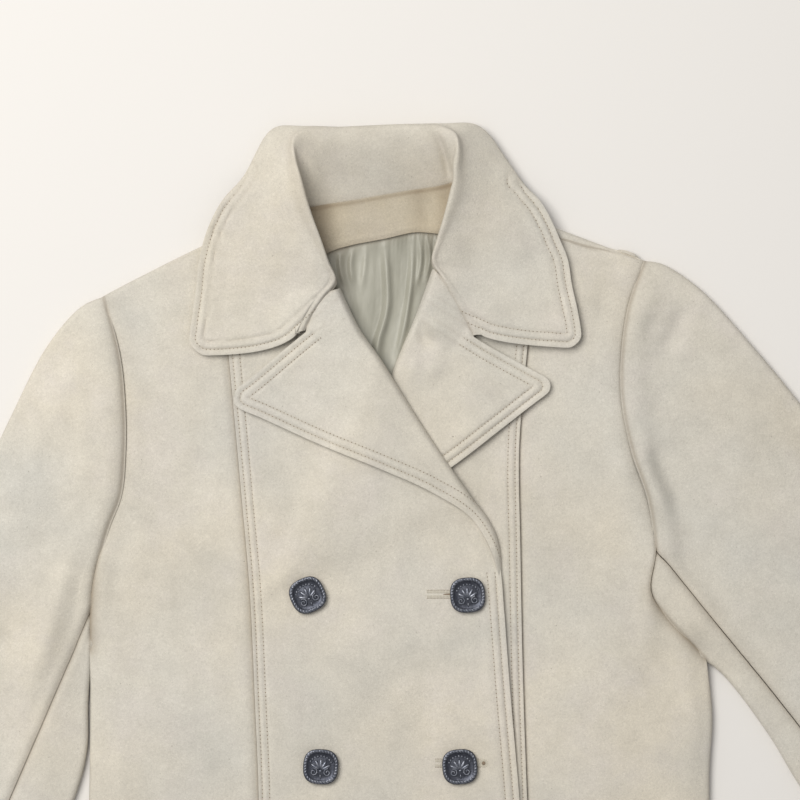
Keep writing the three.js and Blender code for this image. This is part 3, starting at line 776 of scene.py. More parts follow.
def centreFront(half, name, frontEdge, edgeShare, overlapped):
    princess = moved(half.princess, -half.turn * seamGap / 2)
    start = 0 if overlapped else hiddenRoll  # the right roll's first stretch lies on the front edge

    def fold(t):
        return half.roll(start + (1 - start) * np.asarray(t, float))

    roll = moved(fold, half.turn * (lapelWall + 3.2))
    frontCurve = planCurve(frontEdge)
    edge = chain(frontCurve, roll, edgeShare)
    far = chain(half.wrapCollar, half.neck, 0.5)
    plan = planPatch(princess, edge, straight(princess(0.0), edge(0.0)), far)
    across, along = spreadGrid(
        plan, bodyLength, bodyGrid["rowStep"], bodyGrid["columnStep"],
        rowMarks=((1.4,), (0.8, 1.6, 2.6, 4.2, 6.5)), columnMarks=(seamMarks, edgeMarks),
    )
    flat = plan(across, along)
    x, y = flat[..., 0], flat[..., 1]
    toFold = gapTo(flat, half.fold)
    share = lerp(rollShare(toFold, foldRadius), 1, smooth(across, 0.45, 0.55))
    seam = foldRadius + ground(x, y) + 0.75
    toSeam = gapTo(flat, sampled(princess))
    toEdge = gapTo(flat, sampled(frontCurve))
    lift = bodyRelief(flat) * smooth(toFold, 0, 30)
    if overlapped:  # the part that lies under the other front stays down
        lift = lift * smooth(x, 62, 92)
    look = centreFrontLook
    lift = lift + puffed(toSeam, seamRows, look["seamPuff"]) + 0.35 * (1 - smooth(toSeam, 8, 16))
    rowsEnd = edgeShare - (0 if overlapped else 0.036)
    onEdge = 1 - smooth(along, rowsEnd - 0.012, rowsEnd)
    sewn = puffed(toEdge, edgeRows, look["edgePuff"]) + 0.5 * (1 - smooth(toEdge, 12, 22))
    lift = lift + onEdge * sewn
    height = lerp(seam, half.top(x, y) + lift, share)
    points = raised(flat, height)
    # painted shade in the stitch grooves and the seam
    onRows = sum(bell(toSeam - row, 0.9) for row in seamRows)
    onRows = onRows + onEdge * sum(bell(toEdge - row, 0.9) for row in edgeRows)
    shade = look["rowShade"] * onRows + look["seamShade"] * bell(toSeam, 0.7)
    piece = clothPiece(name, points, (0, 0, 1), woolWall, bodyWool, shade, 1.0)
    finishCloth(piece, name, areaOf(points))
    normals = upwardNormals(points)
    for row in seamRows:
        sewRow(crossingLine(points[:, ::-1], normals[:, ::-1], toSeam[:, ::-1], row))
    for row in edgeRows:
        path = crossingLine(points, normals, np.where(along < rowsEnd, toEdge, -1), row)
        sewRow(path)
    return piece


sideFront(right, "side_front_right")
sideFront(left, "side_front_left")
rightFront = centreFront(right, "centre_front_right", frontEdgeRight, 0.64, False)
centreFront(left, "centre_front_left", frontEdgeLeft, 0.68, True)


def makeBack():
    # the back lies on the surface and wraps over the shoulders to the seams
    settings = {"rowStep": 9, "columnStep": 7.5, "wrapRows": 8}
    leftShoulder = chain(backwards(left.collarShoulder), backwards(left.shoulder), 0.4)
    neckOn = chain(planCurve(backNeck), leftShoulder, 0.4)
    shoulders = chain(chain(right.shoulder, right.collarShoulder, 0.6), neckOn, 0.375)
    near = straight(right.edge(0.0), left.edge(0.0))
    plan = planPatch(right.edge, left.edge, near, shoulders)
    across, along = spreadGrid(
        plan, bodyLength, settings["rowStep"], settings["columnStep"],
        rowMarks=((1.4,), rollMarks), columnMarks=(rollMarks, rollMarks),
    )
    flat = plan(across, along)
    x, y = flat[..., 0], flat[..., 1]
    atNeck = smooth(across, 0.32, 0.37) * (1 - smooth(across, 0.63, 0.68))
    toSide = np.minimum(gapTo(flat, right.sidePath), gapTo(flat, left.sidePath))
    toFold = np.minimum(gapTo(flat, right.fold), gapTo(flat, left.fold))
    roll = lerp(1, rollShare(toSide, foldRadius), sideRoll(along))
    share = np.minimum(roll, lerp(rollShare(toFold, foldRadius), 1, atNeck))
    rise = foldHeight(flat, backFolds, 1.0) + lumps(x, y, 45, 0.15)
    rise = rise * smooth(toSide, 4, 40) * smooth(toFold, 4, 40) * (1 - atNeck * smooth(y, 40, 100))
    height = (foldRadius - seamGap / 2) * (1 - share) + ground(x, y) + rise
    body = raised(flat, height)
    top = across[-1]
    wrap = lerp(right.wrap, left.wrap, smooth(top, 0.4, 0.6)) + 0.25
    wrap = wrap * smooth(np.minimum(top, 1 - top), 0.008, 0.17)
    over = []
    onTop = plan(top, np.ones(len(top)))
    inward = onTop - plan(top, np.full(len(top), 0.985))
    inward = -inward / np.linalg.norm(inward, axis=1, keepdims=True)
    for step in range(1, settings["wrapRows"] + 1):
        part = (step / settings["wrapRows"]) ** 1.6
        reach = np.maximum(wrap - 0.2, 0.15) * part
        spot = onTop + inward * reach[:, None]
        seam = foldRadius - seamGap / 2 + ground(spot[:, 0], spot[:, 1])
        crown = np.where(top < 0.5, rightFrontTop(*spot.T), leftFrontTop(*spot.T)) - 0.35 * part
        level = lerp(seam, crown, rollShare(reach, foldRadius))
        level = lerp(level, height[-1] + 0.15 * step, atNeck[-1])
        over.append(np.column_stack([spot, level]))
    points = np.concatenate([body, np.array(over)], 0)
    shade = np.zeros(points.shape[:2])
    # painted shade on the last rows, where the back turns under at the shoulder seam
    shade[-2:] = 0.5
    piece = clothPiece("back", points, (0, 0, -1), woolWall, bodyWool, shade, 0.9)
    finishCloth(piece, "back", areaOf(points))


makeBack()
print("body laid")


# Neck facing and lining

def laidOnBack(near, far, wall, steps, marks=((), ())):
    plan = planPatch(straight(near(0.0), far(0.0)), straight(near(1.0), far(1.0)), near, far)
    flat = plan(*spreadGrid(plan, 110, *steps, rowMarks=marks))
    height = ground(flat[..., 0], flat[..., 1]) + woolWall + layerGap + wall
    height = height + neckGap * smooth(flat[..., 1], 60, 100)
    return raised(flat, height)


facingTop = [[-76, 147], [-58, 150.5], [-38, 153.5], [-15, 157.5], [8, 161.5], [28, 164.5], [46, 169]]
facingBottom = [[-70, 103], [-54, 114], [-38, 119], [-12, 124], [12, 129], [28, 128], [46, 126]]
facingEdge = planCurve(facingBottom)


def makeFacing():
    points = laidOnBack(facingEdge, planCurve(facingTop), woolWall, (2.5, 2.2), ((0.9, 2), (0.9, 2)))
    x = points[..., 0]
    folds = [
        ([[-58, 146], [-54, 130], [-52, 112]], 6, -0.9),
        ([[12, 160], [20, 146], [24, 128]], 5, -1.0),
        ([[26, 164], [33, 146], [36, 128]], 5, 1.0),
        ([[-44, 148], [-38, 134], [-36, 118]], 8, 0.8),
        ([[-8, 156], [-2, 140], [-2, 124]], 12, 0.5),
    ]
    toBottom = gapTo(points[..., :2], sampled(facingEdge, 80))
    toTop = gapTo(points[..., :2], sampled(planCurve(facingTop), 80))
    lift = foldHeight(points, folds, 1.2) * smooth(toTop, 0, 10) + 0.5 * bell(toBottom - 3.5, 2.2)
    points[..., 2] += lift + 0.9
    # painted shade along both seams and in dark patches towards both ends
    shade = 0.25 * bell(toBottom, 0.9) + 0.45 * bell(toTop - 2, 1.5) + 0.20 * bell(toTop, 8)
    shade = shade + 0.62 * bell(x + 63, 11) + 0.42 * bell(x - 36, 10) + 0.26 * bell(x - 14, 7)
    piece = clothPiece("back_neck_facing", points, (0, 0, 1), woolWall, shadedFacingWool, shade, 0.9)
    finishCloth(piece, "back_neck_facing", areaOf(points))


makeFacing()

# the ivory satin is darkened as painted shade for the hollow it lies in
shadeDarkenedLiningLook = {
    "ivory": (0.27, 0.262, 0.212, 1),
    "pale": (0.42, 0.408, 0.342, 1),
    "shadeBrown": (0.24, 0.20, 0.145, 1),
    "sockets": {"Roughness": 0.42, "Specular IOR Level": 0.4, "Sheen Weight": 0.1},
    "bump": {"Strength": 0.4, "Distance": 0.0012},
}


def makeSatin(look):
    material, tree, place = startMaterial("ivory satin")
    streak = noise(tree, place, 60, 3, 0.6, stretch=(1.0, 0.22, 1.0))
    colour = mixed(tree, ranged(tree, streak, 0.3, 0.7, 0, 1), look["ivory"], look["pale"])
    # painted shade: the satin turns brown at its seam and at its sides
    colour = mixed(tree, product(tree, shadeAndPatinaOf(tree), 0.8), colour, look["shadeBrown"])
    weave = noise(tree, place, 2600, 2, 0.5, stretch=(1.0, 0.3, 1.0))
    wrinkle = noise(tree, place, 150, 3, 0.55, stretch=(1.0, 0.4, 1.0))
    height = summed(tree, product(tree, weave, 0.12), wrinkle)
    return finishLook(material, colour, look["sockets"], height, look["bump"])


satin = makeSatin(shadeDarkenedLiningLook)


def makeLining():
    bottom = planCurve([[-26, -6], [-12, -6], [4, -6]])
    points = laidOnBack(bottom, moved(facingEdge, 1.6), liningWall, (1.1, 0.9))
    x, y = points[..., 0], points[..., 1]
    folds = [
        ([[-12, 126], [-10, 96], [-10, 70], [-17, 44], [-20, 10]], 3.2, 2.6),
        ([[-17, 122], [-16, 90], [-17, 60], [-24, 36]], 3.0, -0.7),
        ([[10, 126], [9, 96], [4, 60], [-4, 26]], 2.6, 2.0),
        ([[5, 126], [3, 96], [0, 64]], 3.0, -0.6),
        ([[15, 127], [16, 108], [12, 84]], 2.0, 1.3),
        ([[21, 127], [23, 110], [20, 92]], 2.0, 1.4),
        ([[28, 127], [28, 114], [25, 98]], 1.8, 1.2),
        ([[-26, 120], [-27, 104], [-30, 84]], 2.4, 0.9),
        ([[-36, 118], [-38, 104], [-36, 88]], 2.2, 1.1),
        ([[-46, 115], [-46, 102], [-42, 86]], 2.2, 1.1),
        ([[-54, 110], [-52, 98], [-46, 80]], 2.4, 0.9),
        ([[-44, 84], [-36, 66], [-30, 48]], 5.0, 1.0),
    ]
    toTop = gapTo(points[..., :2], sampled(moved(facingEdge, -seamGap), 80))
    gathers = 0.22 * smooth(x, -30, 20) * np.sin(x * 1.9 + 0.4 * np.sin(y / 7)) * np.exp(-toTop / 9)
    lift = foldHeight(points, folds, 1.0) + gathers + 0.25 * ease(x * 3, y * 2)
    points[..., 2] += np.maximum(1.7 * lift, -0.1) * smooth(toTop, -1, 5) * smooth(y, -10, 12) - 0.1
    # painted shade at the seam with the facing and at both sides
    shade = 0.45 * bell(toTop, 1.5) + 0.2 * bell(toTop, 5)
    shade = shade + 0.35 * bell(x + 48, 10) + 0.25 * bell(x - 26, 8)
    piece = clothPiece("back_lining", points, (0, 0, 1), liningWall, satin, shade, 0.3)
    finishCloth(piece, "back_lining", areaOf(points))


makeLining()
print("neck lined")

# Lapels

lapelSettings = {
    "right": {"edge": lapelEdgeRight, "gorge": gorgeRight, "top": lapelTopRight, "share": 0.4, "rise": 0.5},
    "left": {"edge": lapelEdgeLeft, "gorge": gorgeLeft, "top": lapelTopLeft, "share": 0.48, "rise": 0.72},
    "rollRadius": 5.0,
    "riseReach": 60,
    "puff": 1.0,
    "round": 12.5,
}
lapelFolds = [
    ([[-34, 70], [-26, 40], [-6, 4]], 12, 1.2),
    ([[-66, 40], [-52, 20], [-40, -8]], 16, 0.9),
    ([[-86, 12], [-58, -10], [-18, -30]], 10, -0.6),
    ([[10, 66], [16, 52], [28, 38]], 6, -2.6),
    ([[20, 84], [26, 62], [38, 48]], 8, 2.2),
    ([[4, 34], [16, 24], [36, 22]], 8, 1.5),
    ([[46, 52], [40, 34], [46, 12]], 8, -1.0),
    ([[52, 28], [66, 10], [84, 4]], 11, 0.8),
]


def lapel(half, side):
    settings = lapelSettings[side]
    edge = planCurve(settings["edge"])
    gorge, top = planCurve(settings["gorge"]), planCurve(settings["top"])
    far = chain(gorge, top, settings["share"])
    plan = planPatch(half.roll, edge, straight(half.roll(0.0), edge(0.0)), far)
    across, along = spreadGrid(
        plan, 215, 1.9, 2.0, rowMarks=((0.9,), edgeMarks),
        columnMarks=((0.3, 0.8, 1.6, 2.6, 3.8, 5, 7), edgeMarks),
    )
    flat = plan(across, along)
    x, y = flat[..., 0], flat[..., 1]
    rollPath = sampled(half.roll)
    toRoll = gapTo(flat, rollPath)
    toEdge = gapTo(flat, sampled(edge))
    topPath = longer(sampled(top, 80), 60)
    toTop = gapTo(flat, topPath)
    toGorge = gapTo(flat, sampled(gorge))
    beyond = (flat - topPath[1]) @ unit(topPath[0] - topPath[1])
    front = half.top(x, y)
    lift = bodyRelief(flat)
    if side == "left":
        lift = lift * smooth(x + y * 0.35, 24, 60)
    reach = lapelSettings["riseReach"]
    rise = lapelRise * smooth(along, settings["rise"], 1) * (1 - smooth(toRoll, 0, reach))
    toFree = np.minimum(toEdge, toTop)
    sewn = puffed(toFree, edgeRows, lapelSettings["puff"]) + 0.5 * (1 - smooth(toFree, 12, 24))
    sewn = sewn * smooth(toRoll, 1, 9) * (1 - smooth(beyond, 2, 9))
    seamed = -0.9 * bell(toGorge, 1.8) * smooth(toRoll, 2, 8)
    folded = foldHeight(flat, lapelFolds) * smooth(toRoll, 0, 14) * smooth(toFree, 0, 14)
    tail = smooth(along, 0, 0.13) if side == "right" else 1
    high = front + (lapelGap + lapelWall + 0.3) * lerp(0.08, 1, tail) + rise + lift + sewn + seamed + folded
    low = front - woolWall + rise * 0.4
    height = lerp(low, high, rollShare(toRoll, lapelSettings["rollRadius"]))
    points = raised(flat, height)
    # painted shade in the stitch grooves and along the gorge seam
    shade = 0.12 * sum(bell(toFree - row, 0.9) for row in edgeRows) * smooth(toRoll, 1, 6)
    shade = shade + 0.35 * bell(toGorge, 1.1) * smooth(toRoll, 1, 5)
    corner = flat[-1, -1]
    outs = [corner - flat[-1, -9], corner - flat[-9, -1]]
    acrossEdge, acrossTop = unit(edge(0.97) - edge(0.86)), unit(top(0.95) - top(0.7))
    outEdge = unit(outs[0] - acrossEdge * (outs[0] @ acrossEdge))
    outTop = unit(outs[1] - acrossTop * (outs[1] @ acrossTop))
    points[..., :2] = roundCorner(flat, toEdge, toTop, outEdge, outTop, lapelSettings["round"])
    name = f"lapel_{side}"
    piece = clothPiece(name, points, (0, 0, 1), lapelWall, collarWool, shade, 1.1)
    finishCloth(piece, name, areaOf(points))
    normals = upwardNormals(points)
    for row in edgeRows:
        first = crossingLine(points, normals, toEdge, row, toTop)
        arrays = points, normals, np.where(beyond > 5, -1, toTop), toEdge
        turned = [np.swapaxes(array, 0, 1) for array in arrays]
        second = crossingLine(*turned[:3], row, turned[3])[::-1]
        sewRow(np.vstack([first, second]))
    return piece


lapels = [lapel(right, "right"), lapel(left, "left")]
print("lapels turned back")

# Collar

# neck seam, roll and outer edge (each x, y, height), then how far it bends, turns down and swells
collarSections = [
    ((-73, 53.4, 15), (-79, 52, 15.5), (-162, 34, 13), 4, 0.1, (0, -8)),
    ((-66.8, 65.5, 18), (-72, 65, 18.4), (-162, 46, 13), 4, 0.2, (0, -3)),
    ((-57.8, 78.5, 21), (-63, 79, 21.4), (-160, 62, 13), 5, 0.3, (0, 0)),
    ((-48, 90, 21), (-53, 92, 25), (-157, 83, 13), 6, 0.35, (0, 0)),
    ((-54, 106, 17), (-58, 105, 29), (-155, 103, 13), 7, 0.35, (0, 0)),
    ((-63, 123, 14), (-65, 123, 32), (-151, 122, 13.5), 8, 0.4, (0, 0)),
    ((-69, 137, 12), (-74, 141, 34), (-145, 138, 14), 9, 0.4, (0, 0)),
    ((-71, 145, 11), (-80, 157, 35), (-138, 151, 13.5), 9, 0.45, (-2, 3)),
    ((-72, 147, 10.6), (-83, 173, 34), (-129, 162, 11), 9, 0.55, (-4, 9)),
    ((-71, 147.4, 10.2), (-85, 188, 31), (-117, 173.5, 6.5), 9, 0.7, (-8, 14)),
    ((-68, 148, 10), (-82, 202, 27), (-104, 170, 2.5), 9, 0.9, (-8, 17)),
    ((-58, 149, 10), (-68, 209, 21), (-77, 149, 0), 9, 1, (-3, 8)),
    ((-38, 152, 10), (-42, 210, 18), (-45, 145, 0), 9, 1, (0, 0)),
    ((-15, 156, 10), (-17, 211, 17.5), (-15, 145, 0), 9, 1, (0, 0)),
    ((8, 160, 10), (9, 212, 18), (12, 148, 0), 9, 1, (0, 0)),
    ((28, 163, 10), (29, 211, 21), (42, 151, 0), 9, 1, (3, 8)),
    ((38, 165.5, 10), (43, 204, 27), (77, 165, 2.5), 9, 0.9, (8, 18)),
    ((41, 166, 10.2), (48, 191, 31), (93, 166.5, 7), 9, 0.7, (7, 14)),
    ((41, 165, 10.6), (48, 177, 34), (101, 160, 10), 9, 0.55, (5, 10)),
    ((40, 161, 11), (47, 163, 35), (109, 151, 11.5), 9, 0.45, (2, 4)),
    ((38, 150, 12.5), (43, 149, 34), (116, 139, 12.5), 9, 0.4, (0, 0)),
    ((33, 137, 14), (38, 136, 32), (123, 123, 13), 8, 0.4, (0, 0)),
    ((26, 119, 17), (32, 121, 28), (129, 108, 13), 7, 0.35, (0, 0)),
    ((24, 104.5, 19), (28, 106, 24), (132, 89, 13), 6, 0.35, (0, 0)),
    ((32, 92, 20.5), (37, 93, 21), (136, 71, 13), 5, 0.3, (0, 0)),
    ((44.5, 71, 18), (51, 73, 18.4), (139, 54, 13), 4, 0.2, (0, -2)),
    ((56.5, 50, 14.5), (63, 50, 15), (139.5, 39.5, 13), 4, 0.1, (0, -3)),
]
collarFolds = [
    ([[-96, 150], [-112, 118], [-118, 84]], 16, 1.3),
    ([[-70, 120], [-82, 96], [-92, 66]], 12, -0.9),
    ([[-138, 100], [-136, 80], [-128, 62]], 12, 0.8),
    ([[72, 160], [88, 130], [92, 96]], 14, 1.2),
    ([[46, 126], [58, 104], [70, 76]], 11, -1.0),
    ([[104, 110], [110, 86], [106, 66]], 12, 0.9),
    ([[48, 96], [62, 84], [80, 62]], 8, 0.8),
]
standFolds = [
    ([[25, 209], [31, 194], [36, 178], [39, 166]], 2.6, -1.9),
    ([[33, 207], [40, 190], [42, 172]], 3.4, 1.1),
    ([[-72, 196], [-66, 176], [-62, 156]], 6, 0.9),
    ([[-50, 204], [-46, 184], [-40, 160]], 9, -0.7),
    ([[-14, 206], [-10, 186], [-8, 162]], 12, 0.7),
]


def bezier(a, b, c, d, t):
    t = t[:, None]
    return a * (1 - t) ** 3 + 3 * b * t * (1 - t) ** 2 + 3 * c * t**2 * (1 - t) + d * t**3


def throughRows(rows, where):
    # a smooth run through equally important rows, read at row numbers
    last = len(rows) - 1
    k = np.clip(np.floor(where).astype(int), 0, last - 1)
    t = (where - k)[:, None, None]
    a, b = rows[np.maximum(k - 1, 0)], rows[k]
    c, d = rows[k + 1], rows[np.minimum(k + 2, last)]
    leave, arrive = (c - a) / 2, (d - b) / 2
    return b + leave * t + (3 * (c - b) - 2 * leave - arrive) * t**2 + (2 * (b - c) + leave + arrive) * t**3


def makeCollar():
    settings = {
        "standSteps": 22, "leafStep": 2.2, "rowStep": 2.1, "leafLength": 80, "puff": 1.05,
        "rounds": (15, 12), "rowShade": 0.12, "neckShade": 0.30, "standShade": 0.13, "shownRow": 0.42,
    }
    standAt = np.linspace(0, 1, settings["standSteps"], endpoint=False)
    standAt = np.concatenate([[0, 0.015, 0.03], standAt[1:]])
    leafAt = spread(settings["leafLength"], settings["leafStep"], (), edgeMarks)[0]
    rows = []
    for neckSpot, rollSpot, rimSpot, bend, turn, swell in collarSections:
        foot, top, rim = (np.array(spot, float) for spot in (neckSpot, rollSpot, rimSpot))
        outward = (rim - top) * [1, 1, 0]
        outward /= np.linalg.norm(outward)
        down = turn * math.pi / 2
        bend = bend * lerp(1, 2.3, float(smooth(np.linalg.norm(top - foot), 9, 30)))
        tangent = (outward * math.cos(down) - np.array([0, 0, math.sin(down)])) * bend
        middle = lerp(rim, top, 0.5)
        middle[2] = rim[2]
        stand = bezier(foot, lerp(foot, top, 0.35), top - tangent, top, standAt)
        leaf = bezier(top, top + tangent, middle, rim, leafAt)
        leaf[:, :2] += np.sin(np.pi * leafAt)[:, None] * swell
        rows.append(np.vstack([stand, leaf]))
    rows = np.array(rows)
    dense = np.linspace(0, len(rows) - 1, 1200)
    rim = throughRows(rows[:, -1:], dense)[:, 0]
    reach = np.concatenate([[0], np.cumsum(np.linalg.norm(np.diff(rim, axis=0), axis=1))])
    share = spread(reach[-1], settings["rowStep"], edgeMarks, edgeMarks)[0]
    where = np.interp(share * reach[-1], reach, dense)
    points = throughRows(rows, where)
    stands = len(standAt)
    onLeaf = np.concatenate([np.zeros(stands), smooth(leafAt, 0, 0.35)])[None, :]
    toRim = gapTo(points, points[:, -1])
    ends = [longer(points[row, stands + 3:], 60) for row in (0, -1)]
    toEnds = [gapTo(points, path) for path in ends]
    toEnd = np.minimum(*toEnds)
    toNeck = gapTo(points, points[::3, 0])
    toFree = np.minimum(toRim, toEnd)
    normals = normalsOf(points)
    middleRow = normals[len(normals) // 8, stands + 20]
    normals *= np.sign(middleRow[2])
    facingUp = smooth(normals[..., 2], -0.1, 0.5)
    lift = bodyRelief(points) * onLeaf * facingUp
    seam = np.concatenate([np.ones(stands), 1 - smooth(leafAt, 0, 0.1)])[None, :]
    sewn = puffed(toFree, edgeRows, settings["puff"]) + 0.5 * (1 - smooth(toFree, 12, 24))
    atGorge = (1 - smooth(np.minimum(where, len(rows) - 1 - where), 2.1, 3.3))[:, None]
    onFace = np.concatenate([np.zeros(stands), smooth(leafAt, 0.02, 0.12)])[None, :]
    isLeaf = np.concatenate([np.zeros(stands), np.ones(len(leafAt))])[None, :]
    sewn = sewn * np.maximum(onFace, atGorge * smooth(toNeck, 4.5, 10) * isLeaf)
    folded = foldHeight(points, collarFolds) * onLeaf * facingUp * smooth(toFree, 0, 16)
    tucked = foldHeight(points, standFolds) * seam * smooth(toNeck, 1, 10)
    seamed = -0.6 * bell(toNeck, 2.0) * (1 - atGorge)
    fromMiddle = np.abs(where - (len(rows) - 1) / 2)[:, None]
    turnedUp = smooth(fromMiddle, 4.3, 6.2)
    sewn = sewn * smooth(normals[..., 2], -0.1, 0.55) * turnedUp
    points = points + normals * ((sewn + folded + tucked + seamed)[..., None])
    points[..., 2] += lift
    step = np.zeros(len(points))  # down or up to the lapel, so that the two meet in a flat seam
    for row in np.nonzero(atGorge[:, 0] > 0)[0]:
        spot = points[row, 0] + 2.2 * unit((points[row, 0] - points[row, stands + 4]) * [1, 1, 0])
        step[row] = heightOn(lapels[0 if row < len(points) / 2 else 1], *spot[:2]) + 0.15 - points[row, 0, 2]
    step = np.convolve(np.pad(np.clip(step, -2.6, 3), 4, "edge"), np.ones(9) / 9, "valid")[:, None]
    points[..., 2] += atGorge * (step * (1 - smooth(toNeck, 3, 34)) - 0.9 * bell(toNeck, 1.6))
    for row, radius, near in zip((0, -1), settings["rounds"], toEnds):
        beside = 9 if row == 0 else -10
        outRim = unit((points[row, -1] - points[row, -8]) * [1, 1, 0])
        outEnd = unit((points[row, -1] - points[beside, -1]) * [1, 1, 0])
        alongEnd = unit((points[row, -1] - points[row, -16]) * [1, 1, 0])
        outEnd = unit(outEnd - alongEnd * (outEnd @ alongEnd))
        alongRim = unit((points[beside * 2, -1] - points[beside, -1]) * [1, 1, 0])
        outRim = unit(outRim - alongRim * (outRim @ alongRim))
        points = roundCorner(points, toRim, near, outRim, outEnd, radius)
    points[..., 2] = np.maximum(points[..., 2], 0.02)
    # painted shade in the stitch grooves, at the neck seam and on the inside of the stand
    shade = settings["rowShade"] * sum(bell(toFree - row, 0.9) for row in edgeRows) * onLeaf
    shade = shade + settings["neckShade"] * bell(toNeck, 1.2) + 0.12 * bell(toNeck, 6)
    shade = shade + settings["standShade"] * seam * (1 - atGorge)
    piece = clothPiece("collar", points, (0, 0, 1), collarWall, collarWool, shade, 1.2)
    finishCloth(piece, "collar", areaOf(points))
    fresh = normalsOf(points)
    fresh *= np.sign((fresh * normals).sum(-1, keepdims=True))
    onlyLeaf = slice(stands - 1, None)
    leafPoints, leafNormals = points[:, onlyLeaf], fresh[:, onlyLeaf]
    rimField = np.where(fromMiddle > 5.2, toRim[:, onlyLeaf], -1)
    for row in edgeRows:
        rimPath = crossingLine(leafPoints, leafNormals, rimField, row, toEnd[:, onlyLeaf])
        gaps = np.linalg.norm(np.diff(rimPath[:, :3], axis=0), axis=1)
        rimPath[np.argmax(gaps), 5] = 0  # the row breaks where the edge is out of sight
        for half in (0, 1):
            wide = slice(2, None)
            field = np.swapaxes(toEnds[half][:, wide], 0, 1)
            turned = [np.swapaxes(array[:, wide], 0, 1) for array in (points, fresh, toRim)]
            if half == 0:
                turned = [array[:, ::-1] for array in turned]
                field = field[:, ::-1]
            path = crossingLine(turned[0], turned[1], field, row, turned[2])
            if half == 0:
                rimPath = np.vstack([path, rimPath])
            else:
                rimPath = np.vstack([rimPath, path[::-1]])
        hidden = np.nonzero(rimPath[:, 5] <= settings["shownRow"])[0]  # where the edge has turned under
        sewRow(rimPath[:hidden[0]])
        sewRow(rimPath[hidden[-1] + 1:])


makeCollar()
print("collar folded")

# Sleeves

sleeveShapes = {
    "right": {
        "half": right,
        "outer": [
            [-229, 80], [-246, 72], [-272, 42], [-300, -12], [-322, -60], [-354, -134], [-424, -299],
            [-488, -461],
        ],
        "inner": [[-240, -192], [-241, -231], [-242, -270], [-252, -308], [-293, -396], [-352, -521]],
        "seam": [[-238.5, -163], [-268, -232], [-300, -306], [-332, -378], [-391, -502]],
    },
    "left": {
        "half": left,
        "outer": [
            [189, 107], [202, 105], [231, 86], [270, 44], [308, -2], [370, -85], [450, -196], [527, -300],
        ],
        "inner": [[236, -199], [250, -212], [285, -258], [308, -296], [350, -354], [404, -421]],
        "seam": [[195, -113], [240, -168], [308, -252], [369, -338], [424, -406]],
    },
}
sleeveLook = {
    "length": 520, "rowStep": 4.2, "inset": 1.4,
    "dome": 3.2, "headPuff": 2.2, "armDip": 2.7, "armShade": 0.45,
    "upper": {"flat": (0.215, 0.56), "deep": 1.0, "wide": 2.2, "puff": 0.5, "sleeveSeamShade": 0.35},
    "under": {"flat": (0.235, 0.56), "deep": 1.5, "wide": 3.0, "puff": 0.2, "sleeveSeamShade": 0.45},
}
backSeamInset = 0.08


